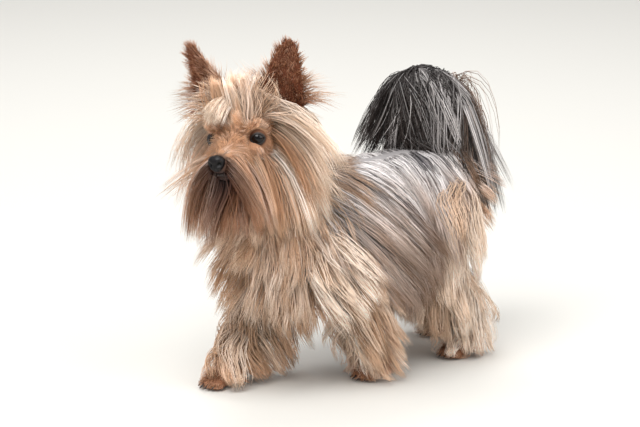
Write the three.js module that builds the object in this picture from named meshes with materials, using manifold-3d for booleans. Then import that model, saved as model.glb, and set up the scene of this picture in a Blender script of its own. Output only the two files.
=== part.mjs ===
// A small long-coated terrier, life size, stepping forward with the head turned to its left.
// Millimetres, +Z up. The dog faces -Y, its left side is +X, and the floor is z = 0.
// Each body part is a core under half the coat's depth, with flat tapered locks grown on it.

import * as THREE from "three";
import { mergeVertices } from "three/addons/utils/BufferGeometryUtils.js";
import Module from "manifold-3d";

const wasm = await Module();
wasm.setup();

// Driving sizes
const WITHERS_HEIGHT = 210; // top of the shoulders under the coat
const BODY_LENGTH = 232; // front of the chest to the back of the rump
const CHEST_HALF_WIDTH = 44;
const CHEST_HALF_DEPTH = 57;
const SKULL_HALF_WIDTH = 33;
const MUZZLE_LENGTH = 34; // eyes to the back of the nose leather
const EYE_SPACING = 46; // centre to centre
const EYE_RADIUS = 9;
const EAR_HEIGHT = 60;
const EAR_HALF_WIDTH = 25;
const TAIL_RADIUS = 8;
const HEAD_TURN = 23; // degrees to the dog's left
const HEAD_TILT = 8; // degrees, left side up
const GAP = 0.35; // between neighbouring parts
const TINY = 0.1; // edges left by a cut that are shorter than about this are taken out
const WELD = 1e-3; // points nearer than this are one point
const FLOOR_MARGIN = 7; // lock tips stay this far above the floor
const CORE_SHARE = 0.4; // how much of the coat's depth the solid core fills

const v3 = (x, y, z) => new THREE.Vector3(x, y, z);
const mix = (a, b, t) => a + (b - a) * t;
const DOWN = v3(0, 0, -1);
const BACK = v3(0, 1, 0);
const ROOT_DEPTH = 4; // how far a lock's root is sunk
const WITHERS_Y = -8;
const CHEST_FRONT_Y = WITHERS_Y - 0.2 * BODY_LENGTH;
const SPINE_Z = WITHERS_HEIGHT - CHEST_HALF_DEPTH;

// Seeded random numbers, so that every build is the same
function seeded(seed) {
  let state = seed >>> 0;
  return () => {
    state = (state + 0x6d2b79f5) >>> 0;
    let t = Math.imul(state ^ (state >>> 15), 1 | state);
    t = (t + Math.imul(t ^ (t >>> 7), 61 | t)) ^ t;
    return ((t ^ (t >>> 14)) >>> 0) / 4294967296;
  };
}

// The head's own frame: origin between the eyes, turned and tilted
const HEAD_ORIGIN = v3(17, -112, 257);
const headFrame = new THREE.Matrix4()
  .makeRotationZ(THREE.MathUtils.degToRad(HEAD_TURN))
  .multiply(new THREE.Matrix4().makeRotationY(THREE.MathUtils.degToRad(-HEAD_TILT)))
  .setPosition(HEAD_ORIGIN);
const onHead = (x, y, z) => v3(x, y, z).applyMatrix4(headFrame);
const headWay = (x, y, z) => v3(x, y, z).transformDirection(headFrame);

// Solids from three.js geometry
function solidOf(geometry, weld = 1e-4) {
  const bare = new THREE.BufferGeometry();
  bare.setAttribute("position", geometry.getAttribute("position"));
  if (geometry.index) bare.setIndex(geometry.index);
  const merged = mergeVertices(bare, weld);
  return new wasm.Manifold(
    new wasm.Mesh({
      numProp: 3,
      vertProperties: new Float32Array(merged.attributes.position.array),
      triVerts: new Uint32Array(merged.index.array),
    }),
  );
}

function geometryOf(solid) {
  const mesh = solid.getMesh();
  const geometry = new THREE.BufferGeometry();
  geometry.setAttribute("position", new THREE.BufferAttribute(mesh.vertProperties, 3));
  geometry.setIndex(new THREE.BufferAttribute(mesh.triVerts, 1));
  return geometry;
}

const joined = (solids) => solids.reduce((all, one) => all.add(one));

function largestSurface(solid) {
  const pieces = solid.decompose();
  return pieces.reduce((best, one) => (one.volume() > best.volume() ? one : best));
}

// Takes out the tiny edges that joins and cuts leave, and drops what then comes loose
function settled(solid) {
  let best = largestSurface(largestSurface(solid).simplify(TINY));
  for (let before = 0; before !== best.numTri(); ) {
    before = best.numTri();
    best = largestSurface(solidOf(geometryOf(best), WELD));
  }
  return best;
}

// Closed surface from rings of points, each end closed by a pole
function skinOfRings(rings, startPole, endPole) {
  const sides = rings[0].length;
  const points = [startPole, ...rings.flat(), endPole];
  const faces = [];
  const last = points.length - 1;
  const at = (ring, side) => 1 + ring * sides + (side % sides);
  for (let s = 0; s < sides; s++) {
    faces.push(0, at(0, s + 1), at(0, s));
    faces.push(last, at(rings.length - 1, s), at(rings.length - 1, s + 1));
    for (let r = 0; r + 1 < rings.length; r++) {
      faces.push(at(r, s), at(r, s + 1), at(r + 1, s));
      faces.push(at(r, s + 1), at(r + 1, s + 1), at(r + 1, s));
    }
  }
  const geometry = new THREE.BufferGeometry();
  geometry.setAttribute(
    "position",
    new THREE.Float32BufferAttribute(points.flatMap((p) => [p.x, p.y, p.z]), 3),
  );
  geometry.setIndex(faces);
  return geometry;
}

// Rounded body through stations {at, wide, tall}, where wide lies along the side vector
function loft(stations, { side = v3(1, 0, 0), sides = 12, grow = 0 } = {}) {
  const curve = new THREE.CatmullRomCurve3(stations.map((s) => s.at));
  const steps = stations.length - 1;
  const ways = stations.map((_, i) => curve.getTangent(i / steps));
  const rings = stations.map(({ at, wide, tall }, i) => {
    const across = side.clone().addScaledVector(ways[i], -side.dot(ways[i])).normalize();
    const up = ways[i].clone().cross(across).normalize();
    return Array.from({ length: sides }, (_, k) => {
      const turn = (2 * Math.PI * (k + 0.5)) / sides;
      return at
        .clone()
        .addScaledVector(across, Math.cos(turn) * (wide + grow))
        .addScaledVector(up, Math.sin(turn) * (tall + grow));
    });
  });
  const past = (i, share) => {
    const { at, wide, tall } = stations[i];
    const sign = i === 0 ? -1 : 1;
    return at.clone().addScaledVector(ways[i], sign * (share * Math.min(wide, tall) + grow));
  };
  const shoulder = (i) =>
    rings[i].map((p) => p.clone().sub(stations[i].at).multiplyScalar(0.74).add(past(i, 0.5)));
  const all = [shoulder(0), ...rings, shoulder(steps)];
  return solidOf(skinOfRings(all, past(0, 0.75), past(steps, 0.75)));
}

// A place on a loft's surface: t runs along it, turn goes round from the top to the left side
function onLoft(stations, t, turn, top = v3(0, 0, 1)) {
  const curve = new THREE.CatmullRomCurve3(stations.map((s) => s.at));
  const along = curve.getTangent(t);
  const spot = THREE.MathUtils.clamp(t, 0, 1) * (stations.length - 1);
  const low = Math.min(Math.floor(spot), stations.length - 2);
  const wide = mix(stations[low].wide, stations[low + 1].wide, spot - low);
  const tall = mix(stations[low].tall, stations[low + 1].tall, spot - low);
  const up = top.clone().addScaledVector(along, -top.dot(along)).normalize();
  const left = v3(1, 0, 0).addScaledVector(along, -along.x);
  left.addScaledVector(up, -left.dot(up)).normalize();
  const normal = up.clone().multiplyScalar(Math.cos(turn) / tall);
  normal.addScaledVector(left, Math.sin(turn) / wide).normalize();
  const point = curve
    .getPoint(t)
    .addScaledVector(up, Math.cos(turn) * tall)
    .addScaledVector(left, Math.sin(turn) * wide);
  return { point, normal, along };
}

function ball(centre, radii, { frame = null, grow = 0, sides = 14 } = {}) {
  const geometry = new THREE.SphereGeometry(1, sides, Math.round(sides / 2));
  geometry.rotateX(Math.PI / 2);
  geometry.scale(radii.x + grow, radii.y + grow, radii.z + grow);
  geometry.translate(centre.x, centre.y, centre.z);
  if (frame) geometry.applyMatrix4(frame);
  return solidOf(geometry);
}

// The body as round cones, for how far a point is outside it
const forms = [];

function addForm(from, to, fromRadius, toRadius) {
  forms.push({ from, to, fromRadius, toRadius });
}

function distance(point) {
  let best = Infinity;
  for (const { from, to, fromRadius, toRadius } of forms) {
    const span = to.clone().sub(from);
    const reach = Math.max(span.lengthSq(), 1e-6);
    const t = THREE.MathUtils.clamp(point.clone().sub(from).dot(span) / reach, 0, 1);
    const nearest = from.clone().addScaledVector(span, t);
    best = Math.min(best, point.distanceTo(nearest) - mix(fromRadius, toRadius, t));
  }
  return best;
}

function outward(point) {
  const h = 1;
  const slope = (axis) => {
    const step = v3(0, 0, 0).setComponent(axis, h);
    return distance(point.clone().add(step)) - distance(point.clone().sub(step));
  };
  return v3(slope(0), slope(1), slope(2)).normalize();
}

const MOST_BEND = 0.6; // cosine of the most that a lock turns in one step

// A lock's middle line: it leaves its sunk root, bends to its fall and slides over the body
function drape({ root, way, length, fall = 0.25, towards = DOWN, clear, steps = 4 }) {
  const path = [root.clone()];
  const heading = way.clone().normalize();
  const last = heading.clone();
  const point = root.clone();
  for (let i = 1; i <= steps; i++) {
    heading.addScaledVector(towards, fall).normalize();
    point.addScaledVector(heading, length / steps);
    const least = mix(clear[0], clear[1], (i - 1) / (steps - 1));
    for (let pass = 0; pass < 3; pass++) {
      const short = least - distance(point);
      if (short > 0) point.addScaledVector(outward(point), short);
    }
    const bent = point.clone().sub(path[i - 1]).normalize();
    if (i > 1 && bent.dot(last) < MOST_BEND) bent.addScaledVector(last, 0.8).normalize();
    point.copy(path[i - 1]).addScaledVector(bent, length / steps);
    point.z = Math.max(point.z, FLOOR_MARGIN);
    heading.copy(point).sub(path[i - 1]).normalize();
    last.copy(heading);
    path.push(point.clone());
  }
  return path;
}

// One flat tapered lock along a path: three sides, the flat one towards the body
function lock(path, width, thickness, grow = 0) {
  const last = path.length - 1;
  const rings = [];
  for (let i = 0; i < last; i++) {
    const way = path[i + 1].clone().sub(path[Math.max(i - 1, 0)]).normalize();
    const lift = outward(path[Math.max(i, 1)]);
    const across = way.clone().cross(lift).normalize();
    const up = way.clone().cross(across).normalize();
    const taper = Math.sin(Math.PI * mix(0.3, 0.86, i / last));
    const w = (width / 2) * taper + grow;
    const h = (thickness / 2) * taper + grow;
    const corner = (a, b) => path[i].clone().addScaledVector(across, a).addScaledVector(up, b);
    const edge = grow > 0 ? [corner(w, grow - h), corner(w, -h)] : [corner(w, -h)];
    const farEdge = grow > 0 ? [corner(-w, -h), corner(-w, grow - h)] : [corner(-w, -h)];
    rings.push([...edge.reverse(), corner(0, h), ...farEdge.reverse()]);
  }
  const start = path[0].clone().lerp(path[1], -0.05);
  const tip = path[last].clone().addScaledVector(
    path[last].clone().sub(path[last - 1]).normalize(),
    grow,
  );
  return solidOf(skinOfRings(rings, start, tip));
}

// Body stations, skin size and coat depth
const spineStation = (y, z, wide, tall, coat) => ({
  at: v3(0, y, z),
  wide: wide + CORE_SHARE * coat,
  tall: tall + CORE_SHARE * coat,
});
const torsoStations = [
  spineStation(CHEST_FRONT_Y, SPINE_Z - 6, 22, 30, 12),
  spineStation(CHEST_FRONT_Y + 16, SPINE_Z - 3, 37, 48, 14),
  spineStation(WITHERS_Y, SPINE_Z, CHEST_HALF_WIDTH, CHEST_HALF_DEPTH, 14),
  spineStation(WITHERS_Y + 42, SPINE_Z + 2, CHEST_HALF_WIDTH + 1, CHEST_HALF_DEPTH - 4, 16),
  spineStation(WITHERS_Y + 90, SPINE_Z + 6, 41, 47, 16),
  spineStation(WITHERS_Y + 134, SPINE_Z + 9, 41, 45, 14),
  spineStation(WITHERS_Y + 168, SPINE_Z + 9, 36, 40, 12),
  spineStation(WITHERS_Y + 184, SPINE_Z + 8, 22, 26, 10),
];
const HEAD_BACK = onHead(0, 46, -2);
const neckStations = [
  { at: v3(0, -24, 172), wide: 37, tall: 40 },
  { at: v3(0, -40, 205), wide: 36, tall: 38 },
  { at: HEAD_BACK.clone().lerp(v3(0, -40, 205), 0.3), wide: 31, tall: 32 },
];

// Legs: joint places, with each joint's skin radius
const legs = {
  foreleg_left: {
    joints: [v3(34, -20, 138), v3(38, 16, 100), v3(37, 40, 38), v3(35, 48, 16)],
    radii: [25, 15, 10, 9],
    paw: v3(35, 51, 0),
  },
  foreleg_right: {
    joints: [v3(-34, -30, 138), v3(-38, -20, 100), v3(-39, -60, 38), v3(-40, -72, 16)],
    radii: [25, 15, 10, 9],
    paw: v3(-40, -77, 0),
  },
  hindleg_left: {
    joints: [v3(28, 146, 152), v3(34, 124, 108), v3(34, 176, 60), v3(34, 170, 16)],
    radii: [32, 21, 10, 9],
    paw: v3(34, 166, 0),
  },
  hindleg_right: {
    joints: [v3(-28, 150, 152), v3(-34, 142, 106), v3(-36, 206, 64), v3(-36, 210, 17)],
    radii: [32, 21, 10, 9],
    paw: v3(-36, 207, 0),
  },
};
const LEG_COAT = 16;
const legRadius = (skin) => skin + CORE_SHARE * LEG_COAT;

const tailLine = [
  v3(0, 172, 192),
  v3(0, 192, 222),
  v3(-3, 196, 252),
  v3(-9, 180, 272),
  v3(-16, 154, 280),
  v3(-21, 132, 274),
];
const tailRadius = (i) => mix(TAIL_RADIUS, 0.45 * TAIL_RADIUS, i / (tailLine.length - 1));

// The same body as round cones
torsoStations.slice(1).forEach((station, i) => {
  const before = torsoStations[i];
  const round = (s) => Math.min(s.wide, s.tall);
  for (const rise of [-1, 0, 1]) {
    const raised = (s) => s.at.clone().add(v3(0, 0, rise * (s.tall - round(s))));
    addForm(raised(before), raised(station), round(before), round(station));
  }
});
addForm(neckStations[0].at, neckStations[2].at, neckStations[0].wide, neckStations[2].wide);
for (const { joints, radii } of Object.values(legs)) {
  for (let i = 0; i + 1 < joints.length; i++) {
    addForm(joints[i], joints[i + 1], legRadius(radii[i]), legRadius(radii[i + 1]));
  }
}
addForm(onHead(0, 34, 6), onHead(0, 34, 6), SKULL_HALF_WIDTH + 3, SKULL_HALF_WIDTH + 3);
addForm(onHead(0, 20, -10), onHead(0, -MUZZLE_LENGTH + 4, -18), 28, 12);

// Head, in its own frame
const headStation = (y, z, wide, tall) => ({ at: onHead(0, y, z), wide, tall });
const headSide = headWay(1, 0, 0);
const eyeCentre = (side) => v3((side * EYE_SPACING) / 2, 8, 0);

function headCore(grow = 0) {
  const skull = ball(v3(0, 34, 6), v3(SKULL_HALF_WIDTH, 37, 30), { frame: headFrame, grow });
  const cheeks = ball(v3(0, 22, -10), v3(31, 29, 21), { frame: headFrame, grow, sides: 10 });
  const muzzle = loft(
    [
      headStation(14, -9, 25, 20),
      headStation(-6, -12, 19, 15),
      headStation(-MUZZLE_LENGTH * 0.6, -14, 15.5, 12),
      headStation(-MUZZLE_LENGTH, -15, 12, 9.5),
    ],
    { side: headSide, sides: 12, grow },
  );
  const jaw = loft(
    [headStation(18, -27, 18, 10), headStation(-8, -29, 13, 7), headStation(-27, -28, 8, 5)],
    { side: headSide, sides: 10, grow },
  );
  return joined([skull, cheeks, muzzle, jaw]);
}

function lids(side, grow) {
  const ring = new THREE.TorusGeometry(EYE_RADIUS - 1.2, 2 + grow, 5, 12);
  ring.scale(1, 0.8, 1);
  ring.rotateX(Math.PI / 2);
  ring.rotateZ(side * 0.35);
  const seat = eyeCentre(side).add(v3(side * 1.6, -5.6, 0));
  ring.translate(seat.x, seat.y, seat.z);
  ring.applyMatrix4(headFrame);
  return solidOf(ring);
}

const eyeball = (side, grow = 0) =>
  ball(eyeCentre(side), v3(EYE_RADIUS, EYE_RADIUS, EYE_RADIUS), { frame: headFrame, grow });

// Nose leather with two nostrils
function noseLeather(grow = 0) {
  const leather = ball(v3(0, -MUZZLE_LENGTH - 3, -12.5), v3(8.6, 7, 7.4), {
    frame: headFrame,
    grow,
    sides: 12,
  });
  if (grow) return leather;
  const nostrils = [-1, 1].map((side) =>
    ball(v3(side * 3.9, -MUZZLE_LENGTH - 9.4, -12.8), v3(1.9, 3, 1.6), {
      frame: headFrame,
      sides: 6,
    }),
  );
  return nostrils.reduce((nose, hole) => nose.subtract(hole), leather);
}

// The line of the mouth, a thin curved slit on each side of the muzzle
function mouthSlit() {
  const slit = new THREE.TorusGeometry(14, 0.9, 4, 20);
  slit.scale(0.86, 1.8, 1);
  slit.translate(0, -11, -22.5);
  slit.applyMatrix4(headFrame);
  return solidOf(slit);
}

// One ear: a cupped shell that narrows to its tip, open to the front
function earShell(side, grow = 0) {
  const base = v3(side * 32, 42, 24);
  const tip = v3(side * 53, 38, 24 + EAR_HEIGHT);
  const up = tip.clone().sub(base).normalize();
  const facing = v3(side * 0.45, -0.9, 0.05);
  facing.addScaledVector(up, -facing.dot(up)).normalize();
  const across = up.clone().cross(facing).normalize();
  const height = tip.distanceTo(base);
  const rows = 5;
  const columns = 6;
  const wall = 0.9 + grow;
  const curl = 1.2;
  const sheet = (offset) =>
    Array.from({ length: rows + 1 }, (_, r) => {
      const t = r / rows;
      const half = EAR_HALF_WIDTH * Math.pow(1 - t * 0.97, 0.62);
      const cup = 0.7 * half;
      const rise = mix(-8 - grow, height + 2 * grow, t);
      return Array.from({ length: columns + 1 }, (_, c) => {
        const turn = mix(-1, 1, c / columns) * (curl + (1.2 * grow) / half);
        const breadth = (Math.sin(turn) * half) / Math.sin(curl) + Math.sin(turn) * offset;
        return base
          .clone()
          .addScaledVector(up, rise)
          .addScaledVector(across, breadth)
          .addScaledVector(facing, cup * (0.5 - Math.cos(turn)) - Math.cos(turn) * offset)
          .applyMatrix4(headFrame);
      });
    });
  const outer = sheet(wall);
  const inner = sheet(-wall);
  const rings = outer.map((row, r) => [...row, ...inner[r].slice().reverse()]);
  return solidOf(skinOfEar(rings));
}

// Joins the ear's rows; both faces are split into triangles alike
function skinOfEar(rings) {
  const count = rings[0].length;
  const points = rings.flat();
  const faces = [];
  const at = (r, c) => r * count + (c % count);
  for (let r = 0; r + 1 < rings.length; r++) {
    for (let c = 0; c < count; c++) {
      const inner = c >= count / 2;
      const [a, b, d, e] = [at(r, c), at(r, c + 1), at(r + 1, c), at(r + 1, c + 1)];
      if (inner) faces.push(b, a, e, e, a, d);
      else faces.push(b, a, d, e, b, d);
    }
  }
  const cap = (r, flip) => {
    for (let c = 0; c < count / 2 - 1; c++) {
      const [a, b] = [at(r, c), at(r, c + 1)];
      const [d, e] = [at(r, count - 1 - c), at(r, count - 2 - c)];
      if (flip) faces.push(d, a, b, d, b, e);
      else faces.push(b, a, d, e, b, d);
    }
  };
  cap(0, true);
  cap(rings.length - 1, false);
  const geometry = new THREE.BufferGeometry();
  geometry.setAttribute(
    "position",
    new THREE.Float32BufferAttribute(points.flatMap((p) => [p.x, p.y, p.z]), 3),
  );
  geometry.setIndex(faces);
  return geometry;
}

const torsoCore = (grow = 0) => loft(torsoStations, { sides: 14, grow });
const neckCore = (grow = 0) => loft(neckStations, { sides: 12, grow });

const legStations = ({ joints, radii }) =>
  joints.map((at, i) => ({ at, wide: legRadius(radii[i]), tall: legRadius(radii[i]) }));
const legCore = (leg, grow = 0) => loft(legStations(leg), { sides: 8, grow });

// A paw: an oval with four toes in front, flat underneath
const PAW = { wide: 14, long: 19, tall: 11, toe: 5.4 };

function pawSolid(place, grow = 0) {
  const pad = ball(v3(place.x, place.y, PAW.tall * 0.62), v3(PAW.wide, PAW.long, PAW.tall), {
    grow,
    sides: 8,
  });
  const toes = [-1.5, -0.5, 0.5, 1.5].map((k) =>
    ball(
      v3(
        place.x + k * PAW.toe * 1.25,
        place.y - PAW.long * (0.86 - 0.09 * k * k),
        PAW.toe * 0.95,
      ),
      v3(PAW.toe, PAW.toe * 1.35, PAW.toe * 1.1),
      { grow, sides: 6 },
    ),
  );
  const floorBlock = new THREE.BoxGeometry(200, 200, 100);
  floorBlock.translate(place.x, place.y, -50 - (grow ? 1 : 0));
  return joined([pad, ...toes]).subtract(solidOf(floorBlock));
}

function tailCore(grow = 0) {
  const stations = tailLine.map((at, i) => ({ at, wide: tailRadius(i) + 2, tall: tailRadius(i) + 2 }));
  return loft(stations, { sides: 8, grow });
}

// Locks of each part, as rows of roots with the way they lie and hang
const random = seeded(43);
const vary = (share) => 1 + share * (2 * random() - 1);
const LAYER = 3.4; // every other lock lies this much higher than its neighbours
let lifted = false;

function rooted({ point, normal }, way, options) {
  const root = point.clone().addScaledVector(normal, -ROOT_DEPTH);
  const { width, thickness = 3.2, length, clear = [2, 4], ...rest } = options;
  lifted = !lifted;
  const raised = clear.map((least) => least + (lifted ? LAYER : 0));
  const path = drape({ root, way, length: length * vary(0.12), clear: raised, ...rest });
  return { path, width: width * vary(0.12), thickness };
}

function row(count, from, to, make) {
  return Array.from({ length: count }, (_, i) =>
    make(mix(from, to, count > 1 ? i / (count - 1) : 0.5), i),
  );
}

const bothSides = (make) => [1, -1].flatMap(make);
const degrees = THREE.MathUtils.degToRad;

// Torso: parted along the back, the coat falls down and back over each side in tiers
function torsoLocks() {
  const tiers = [
    { turn: 112, count: 6, length: 78, sweep: 0.22, clear: [2, 4], from: 0.1, to: 0.94 },
    { turn: 66, count: 6, length: 92, sweep: 0.3, clear: [3, 6], from: 0.12, to: 0.95 },
    { turn: 20, count: 6, length: 82, sweep: 0.5, clear: [4, 7], from: 0.16, to: 0.96 },
  ];
  return bothSides((side) =>
    tiers.flatMap(({ turn, count, length, sweep, clear, from, to }, tier) =>
      row(count, from, to, (t, i) => {
        const shifted = t + (tier % 2 ? 0.03 : 0);
        const place = onLoft(torsoStations, Math.min(shifted, 0.97), side * degrees(turn));
        const way = DOWN.clone().addScaledVector(place.normal, place.normal.z).normalize();
        way.addScaledVector(DOWN, 0.4).addScaledVector(BACK, sweep);
        way.addScaledVector(place.normal, 0.18);
        const droop = i === 0 ? 0.9 : 1;
        return rooted(place, way, { length: length * droop, width: 40, clear, fall: 0.22 });
      }),
    ),
  );
}

// Chest: a bib of locks down the front and between the forelegs
function chestLocks() {
  return [-0.6, 0, 0.6].flatMap((turn) =>
    [0.0, 0.1].map((t) => {
      const place = onLoft(torsoStations, t, Math.PI - turn);
      const way = v3(turn * 0.4, -0.35, -1);
      return rooted(place, way, { length: 66, width: 24, clear: [2, 5], fall: 0.2 });
    }),
  );
}

// Neck: a ruff in two tiers, longest at the throat
function neckLocks() {
  const nape = v3(0, 1, 0.4);
  const tiers = [
    { t: 0.3, count: 8, length: 66, clear: [3, 8], shift: 0 },
    { t: 0.72, count: 9, length: 74, clear: [4, 12], shift: 0.26 },
  ];
  return tiers.flatMap(({ t, count, length, clear, shift }) =>
    row(count, 0, 2 * Math.PI * (1 - 1 / count), (turn) => {
      const place = onLoft(neckStations, t, turn + shift, nape);
      const way = place.along.clone().negate().addScaledVector(place.normal, 0.5);
      const throat = 0.5 - 0.5 * Math.cos(turn + shift);
      const reach = length * mix(0.8, 1.12, throat);
      return rooted(place, way, { length: reach, width: 30, clear, fall: 0.3 });
    }),
  );
}

// Head: moustache and beard, cheek ruff, brows and topknot
function headLocks() {
  const spot = (x, y, z, nx, ny, nz) => ({ point: onHead(x, y, z), normal: headWay(nx, ny, nz) });
  const beard = bothSides((side) => [
    ...row(4, -27, 6, (y, i) => {
      const place = spot(side * mix(12, 22, i / 3), y, -13, side, -0.2, 0);
      const way = headWay(side * mix(0.55, 0.95, i / 3), mix(-0.45, -0.1, i / 3), -0.55);
      const towards = v3(0, 0, -1).addScaledVector(headWay(-side, 0, 0), 0.35);
      const reach = mix(74, 92, i / 3);
      return rooted(place, way, { length: reach, width: 26, towards, fall: 0.42 });
    }),
    ...row(2, -18, 6, (y, i) => {
      const place = spot(side * mix(5, 10, i), y, -33, side * 0.4, -0.2, -1);
      const way = headWay(side * 0.3, mix(-0.4, -0.1, i), -1);
      return rooted(place, way, { length: 70, width: 24, fall: 0.3, clear: [2, 8] });
    }),
  ]);
  const cheeks = bothSides((side) => [
    ...row(4, 16, -16, (z, i) => {
      const place = spot(side * 30, mix(30, 14, i / 3), z, side, 0, 0);
      const way = headWay(side, mix(0.45, 0.05, i / 3), -0.28);
      const reach = mix(64, 84, i / 3);
      return rooted(place, way, { length: reach, width: 28, fall: 0.36, clear: [3, 10] });
    }),
    ...row(3, 24, -12, (z, i) => {
      const place = spot(side * 27, mix(52, 48, i / 2), z, side * 0.8, 0.6, 0);
      const way = headWay(side * 0.7, 0.7, -0.4);
      return rooted(place, way, { length: 66, width: 25, fall: 0.34, clear: [4, 12] });
    }),
  ]);
  const nape = row(2, -11, 11, (x) => {
    const place = spot(x, 66, 12, 0, 1, 0.3);
    return rooted(place, headWay(x / 40, 1, -0.3), {
      length: 62,
      width: 25,
      fall: 0.4,
      clear: [4, 10],
    });
  });
  const brows = bothSides((side) =>
    row(1, 0, 1, (t) => {
      const place = spot(side * mix(7, 20, t), mix(1, 6, t), 15, side * 0.3, -0.8, 0.6);
      const way = headWay(side * 0.7, -0.25, 0.35);
      return rooted(place, way, { length: 24, width: 12, thickness: 2.4, fall: 0.2, steps: 3 });
    }),
  );
  const topknot = row(4, -13, 13, (x) => {
    const place = spot(x, 24, 34, 0, 0, 1);
    const way = headWay(x / 30, mix(-0.15, 0.5, random()), 1);
    return rooted(place, way, { length: 36, width: 10, thickness: 2.6, fall: 0.08, steps: 3 });
  });
  return [...beard, ...cheeks, ...nape, ...brows, ...topknot];
}

// Tail: a plume that rises from the bone, parts along it and falls on both sides
function tailLocks() {
  const line = new THREE.CatmullRomCurve3(tailLine);
  return bothSides((side) =>
    row(8, 0.16, 0.98, (t, i) => {
      const point = line.getPoint(t);
      const along = line.getTangent(t);
      const out = v3(side, 0, 0.25).normalize();
      const way = out.clone().multiplyScalar(0.8).addScaledVector(along, 0.75);
      way.addScaledVector(v3(0, 0, 1), 0.25);
      const reach = mix(74, 104, Math.sin(Math.PI * mix(0.1, 0.7, t)));
      const sunk = { point: point.clone().addScaledVector(out, ROOT_DEPTH + 1), normal: out };
      const towards = v3(side * 0.12, i % 2 ? 0.18 : 0.05, -1);
      return rooted(sunk, way, { length: reach, width: 26, fall: 0.5, towards });
    }),
  );
}

// Legs: locks in tiers round the bone, flaring back where the step blows them
function legLocks(leg) {
  const stations = legStations(leg);
  const front = v3(0, -1, 0);
  const outer = Math.sign(leg.joints[0].x);
  return LEG_TIERS.flatMap(({ t, count, length, flare, width, inner }, tier) =>
    row(count, 0, 2 * Math.PI * (1 - 1 / count), (turn) => {
      const place = onLoft(stations, t, turn + tier * 0.5, front);
      if (!inner && place.normal.x * outer < -0.3) return null;
      const way = DOWN.clone().addScaledVector(place.normal, flare).addScaledVector(BACK, 0.3);
      return rooted(place, way, { length, width, fall: 0.28 });
    }).filter(Boolean),
  );
}
const LEG_TIERS = [
  { t: 0.9, count: 5, length: 30, flare: 0.75, width: 18, inner: true },
  { t: 0.68, count: 5, length: 40, flare: 0.8, width: 21, inner: true },
  { t: 0.45, count: 5, length: 46, flare: 0.7, width: 24, inner: true },
  { t: 0.22, count: 6, length: 52, flare: 0.5, width: 26, inner: false },
];

// Ears: a fringe of small locks along both edges
function earLocks(side) {
  const base = v3(side * 32, 42, 24);
  const tip = v3(side * 53, 38, 24 + EAR_HEIGHT);
  return [-1, 1].flatMap((edge) =>
    row(3, 0.15, 0.8, (t) => {
      const half = EAR_HALF_WIDTH * Math.pow(1 - t * 0.97, 0.62);
      const point = base.clone().lerp(tip, t).add(v3(side * edge * half * 0.86, edge * 3, 0));
      const out = headWay(side * edge, 0.2, 0.1);
      const way = headWay(side * edge * 0.7, 0.25, 0.6);
      const place = { point: point.applyMatrix4(headFrame), normal: out };
      return rooted(place, way, { length: 24, width: 10, thickness: 2.2, fall: 0.1, steps: 2 });
    }),
  );
}

// A core joined with its locks
function coated(core, locks) {
  return (grow) =>
    joined([core(grow), ...locks.map((l) => lock(l.path, l.width, l.thickness, grow))]);
}

// Builds the nodes outermost first, each cut clear of those before it
const placed = [];

function place(name, make, material) {
  let solid = make(0);
  const box = solid.boundingBox();
  for (const other of placed) {
    const apart = [0, 1, 2].some(
      (k) => box.max[k] + 1 < other.box.min[k] || other.box.max[k] + 1 < box.min[k],
    );
    if (!apart) solid = solid.subtract(other.grown());
  }
  let cache = null;
  const grown = () => (cache ??= make(GAP));
  placed.push({ name, material, solid, box: solid.boundingBox(), grown });
}

// Materials
const finish = (colour, roughness) =>
  new THREE.MeshStandardMaterial({ color: colour, roughness, metalness: 0 });
const tanCoat = finish(0xc9986a, 0.75);
const creamCoat = finish(0xd9c0a0, 0.75);
const silverCoat = finish(0x9a9398, 0.7);
const darkCoat = finish(0x4b454b, 0.7);
const rustCoat = finish(0x9a5a33, 0.8);
const wetBlack = finish(0x0c0a0a, 0.12);
const noseBlack = finish(0x1a1718, 0.4);

place("eye_left", (grow) => eyeball(1, grow), wetBlack);
place("eye_right", (grow) => eyeball(-1, grow), wetBlack);
place("nose", (grow) => noseLeather(grow), noseBlack);
place("ear_left", coated((grow) => earShell(1, grow), earLocks(1)), rustCoat);
place("ear_right", coated((grow) => earShell(-1, grow), earLocks(-1)), rustCoat);
const face = (grow) => {
  const whole = joined([headCore(grow), lids(1, grow), lids(-1, grow)]);
  return grow ? whole : whole.subtract(mouthSlit());
};
place("head", coated(face, headLocks()), tanCoat);
for (const [name, leg] of Object.entries(legs)) {
  place(name.replace("leg", "paw"), (grow) => pawSolid(leg.paw, grow), rustCoat);
}
place("tail", coated(tailCore, tailLocks()), darkCoat);
place("neck", coated(neckCore, neckLocks()), creamCoat);
place("torso", coated(torsoCore, [...torsoLocks(), ...chestLocks()]), silverCoat);
for (const [name, leg] of Object.entries(legs)) {
  place(name, coated((grow) => legCore(leg, grow), legLocks(leg)), creamCoat);
}

// The origin is the middle of the box, on the floor
const dog = new THREE.Group();
const whole = new THREE.Box3();
for (const { box } of placed) {
  whole.expandByPoint(v3(...box.min));
  whole.expandByPoint(v3(...box.max));
}
const middle = whole.getCenter(v3(0, 0, 0));
for (const { name, material, solid } of placed) {
  const moved = settled(solid.translate([-middle.x, -middle.y, -whole.min.z]));
  const mesh = new THREE.Mesh(geometryOf(moved), material);
  mesh.name = name;
  dog.add(mesh);
}

export default dog;
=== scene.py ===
# %% [markdown]
# A small long-coated terrier, life size, that stands still in the middle of a step. The
# solids give its size and place, and here they get one skin, wet eyes, nose leather, claws
# and a coat. The coat could be Blender's own hair, but a part for a library has to be plain
# mesh, so it is made of some fifty thousand thin closed tufts. Everything is in metres, in
# the frame of the solids.

# %% The frame and the tools
import math

import bmesh
import bpy
import numpy as np
from mathutils import Matrix, Vector


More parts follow.
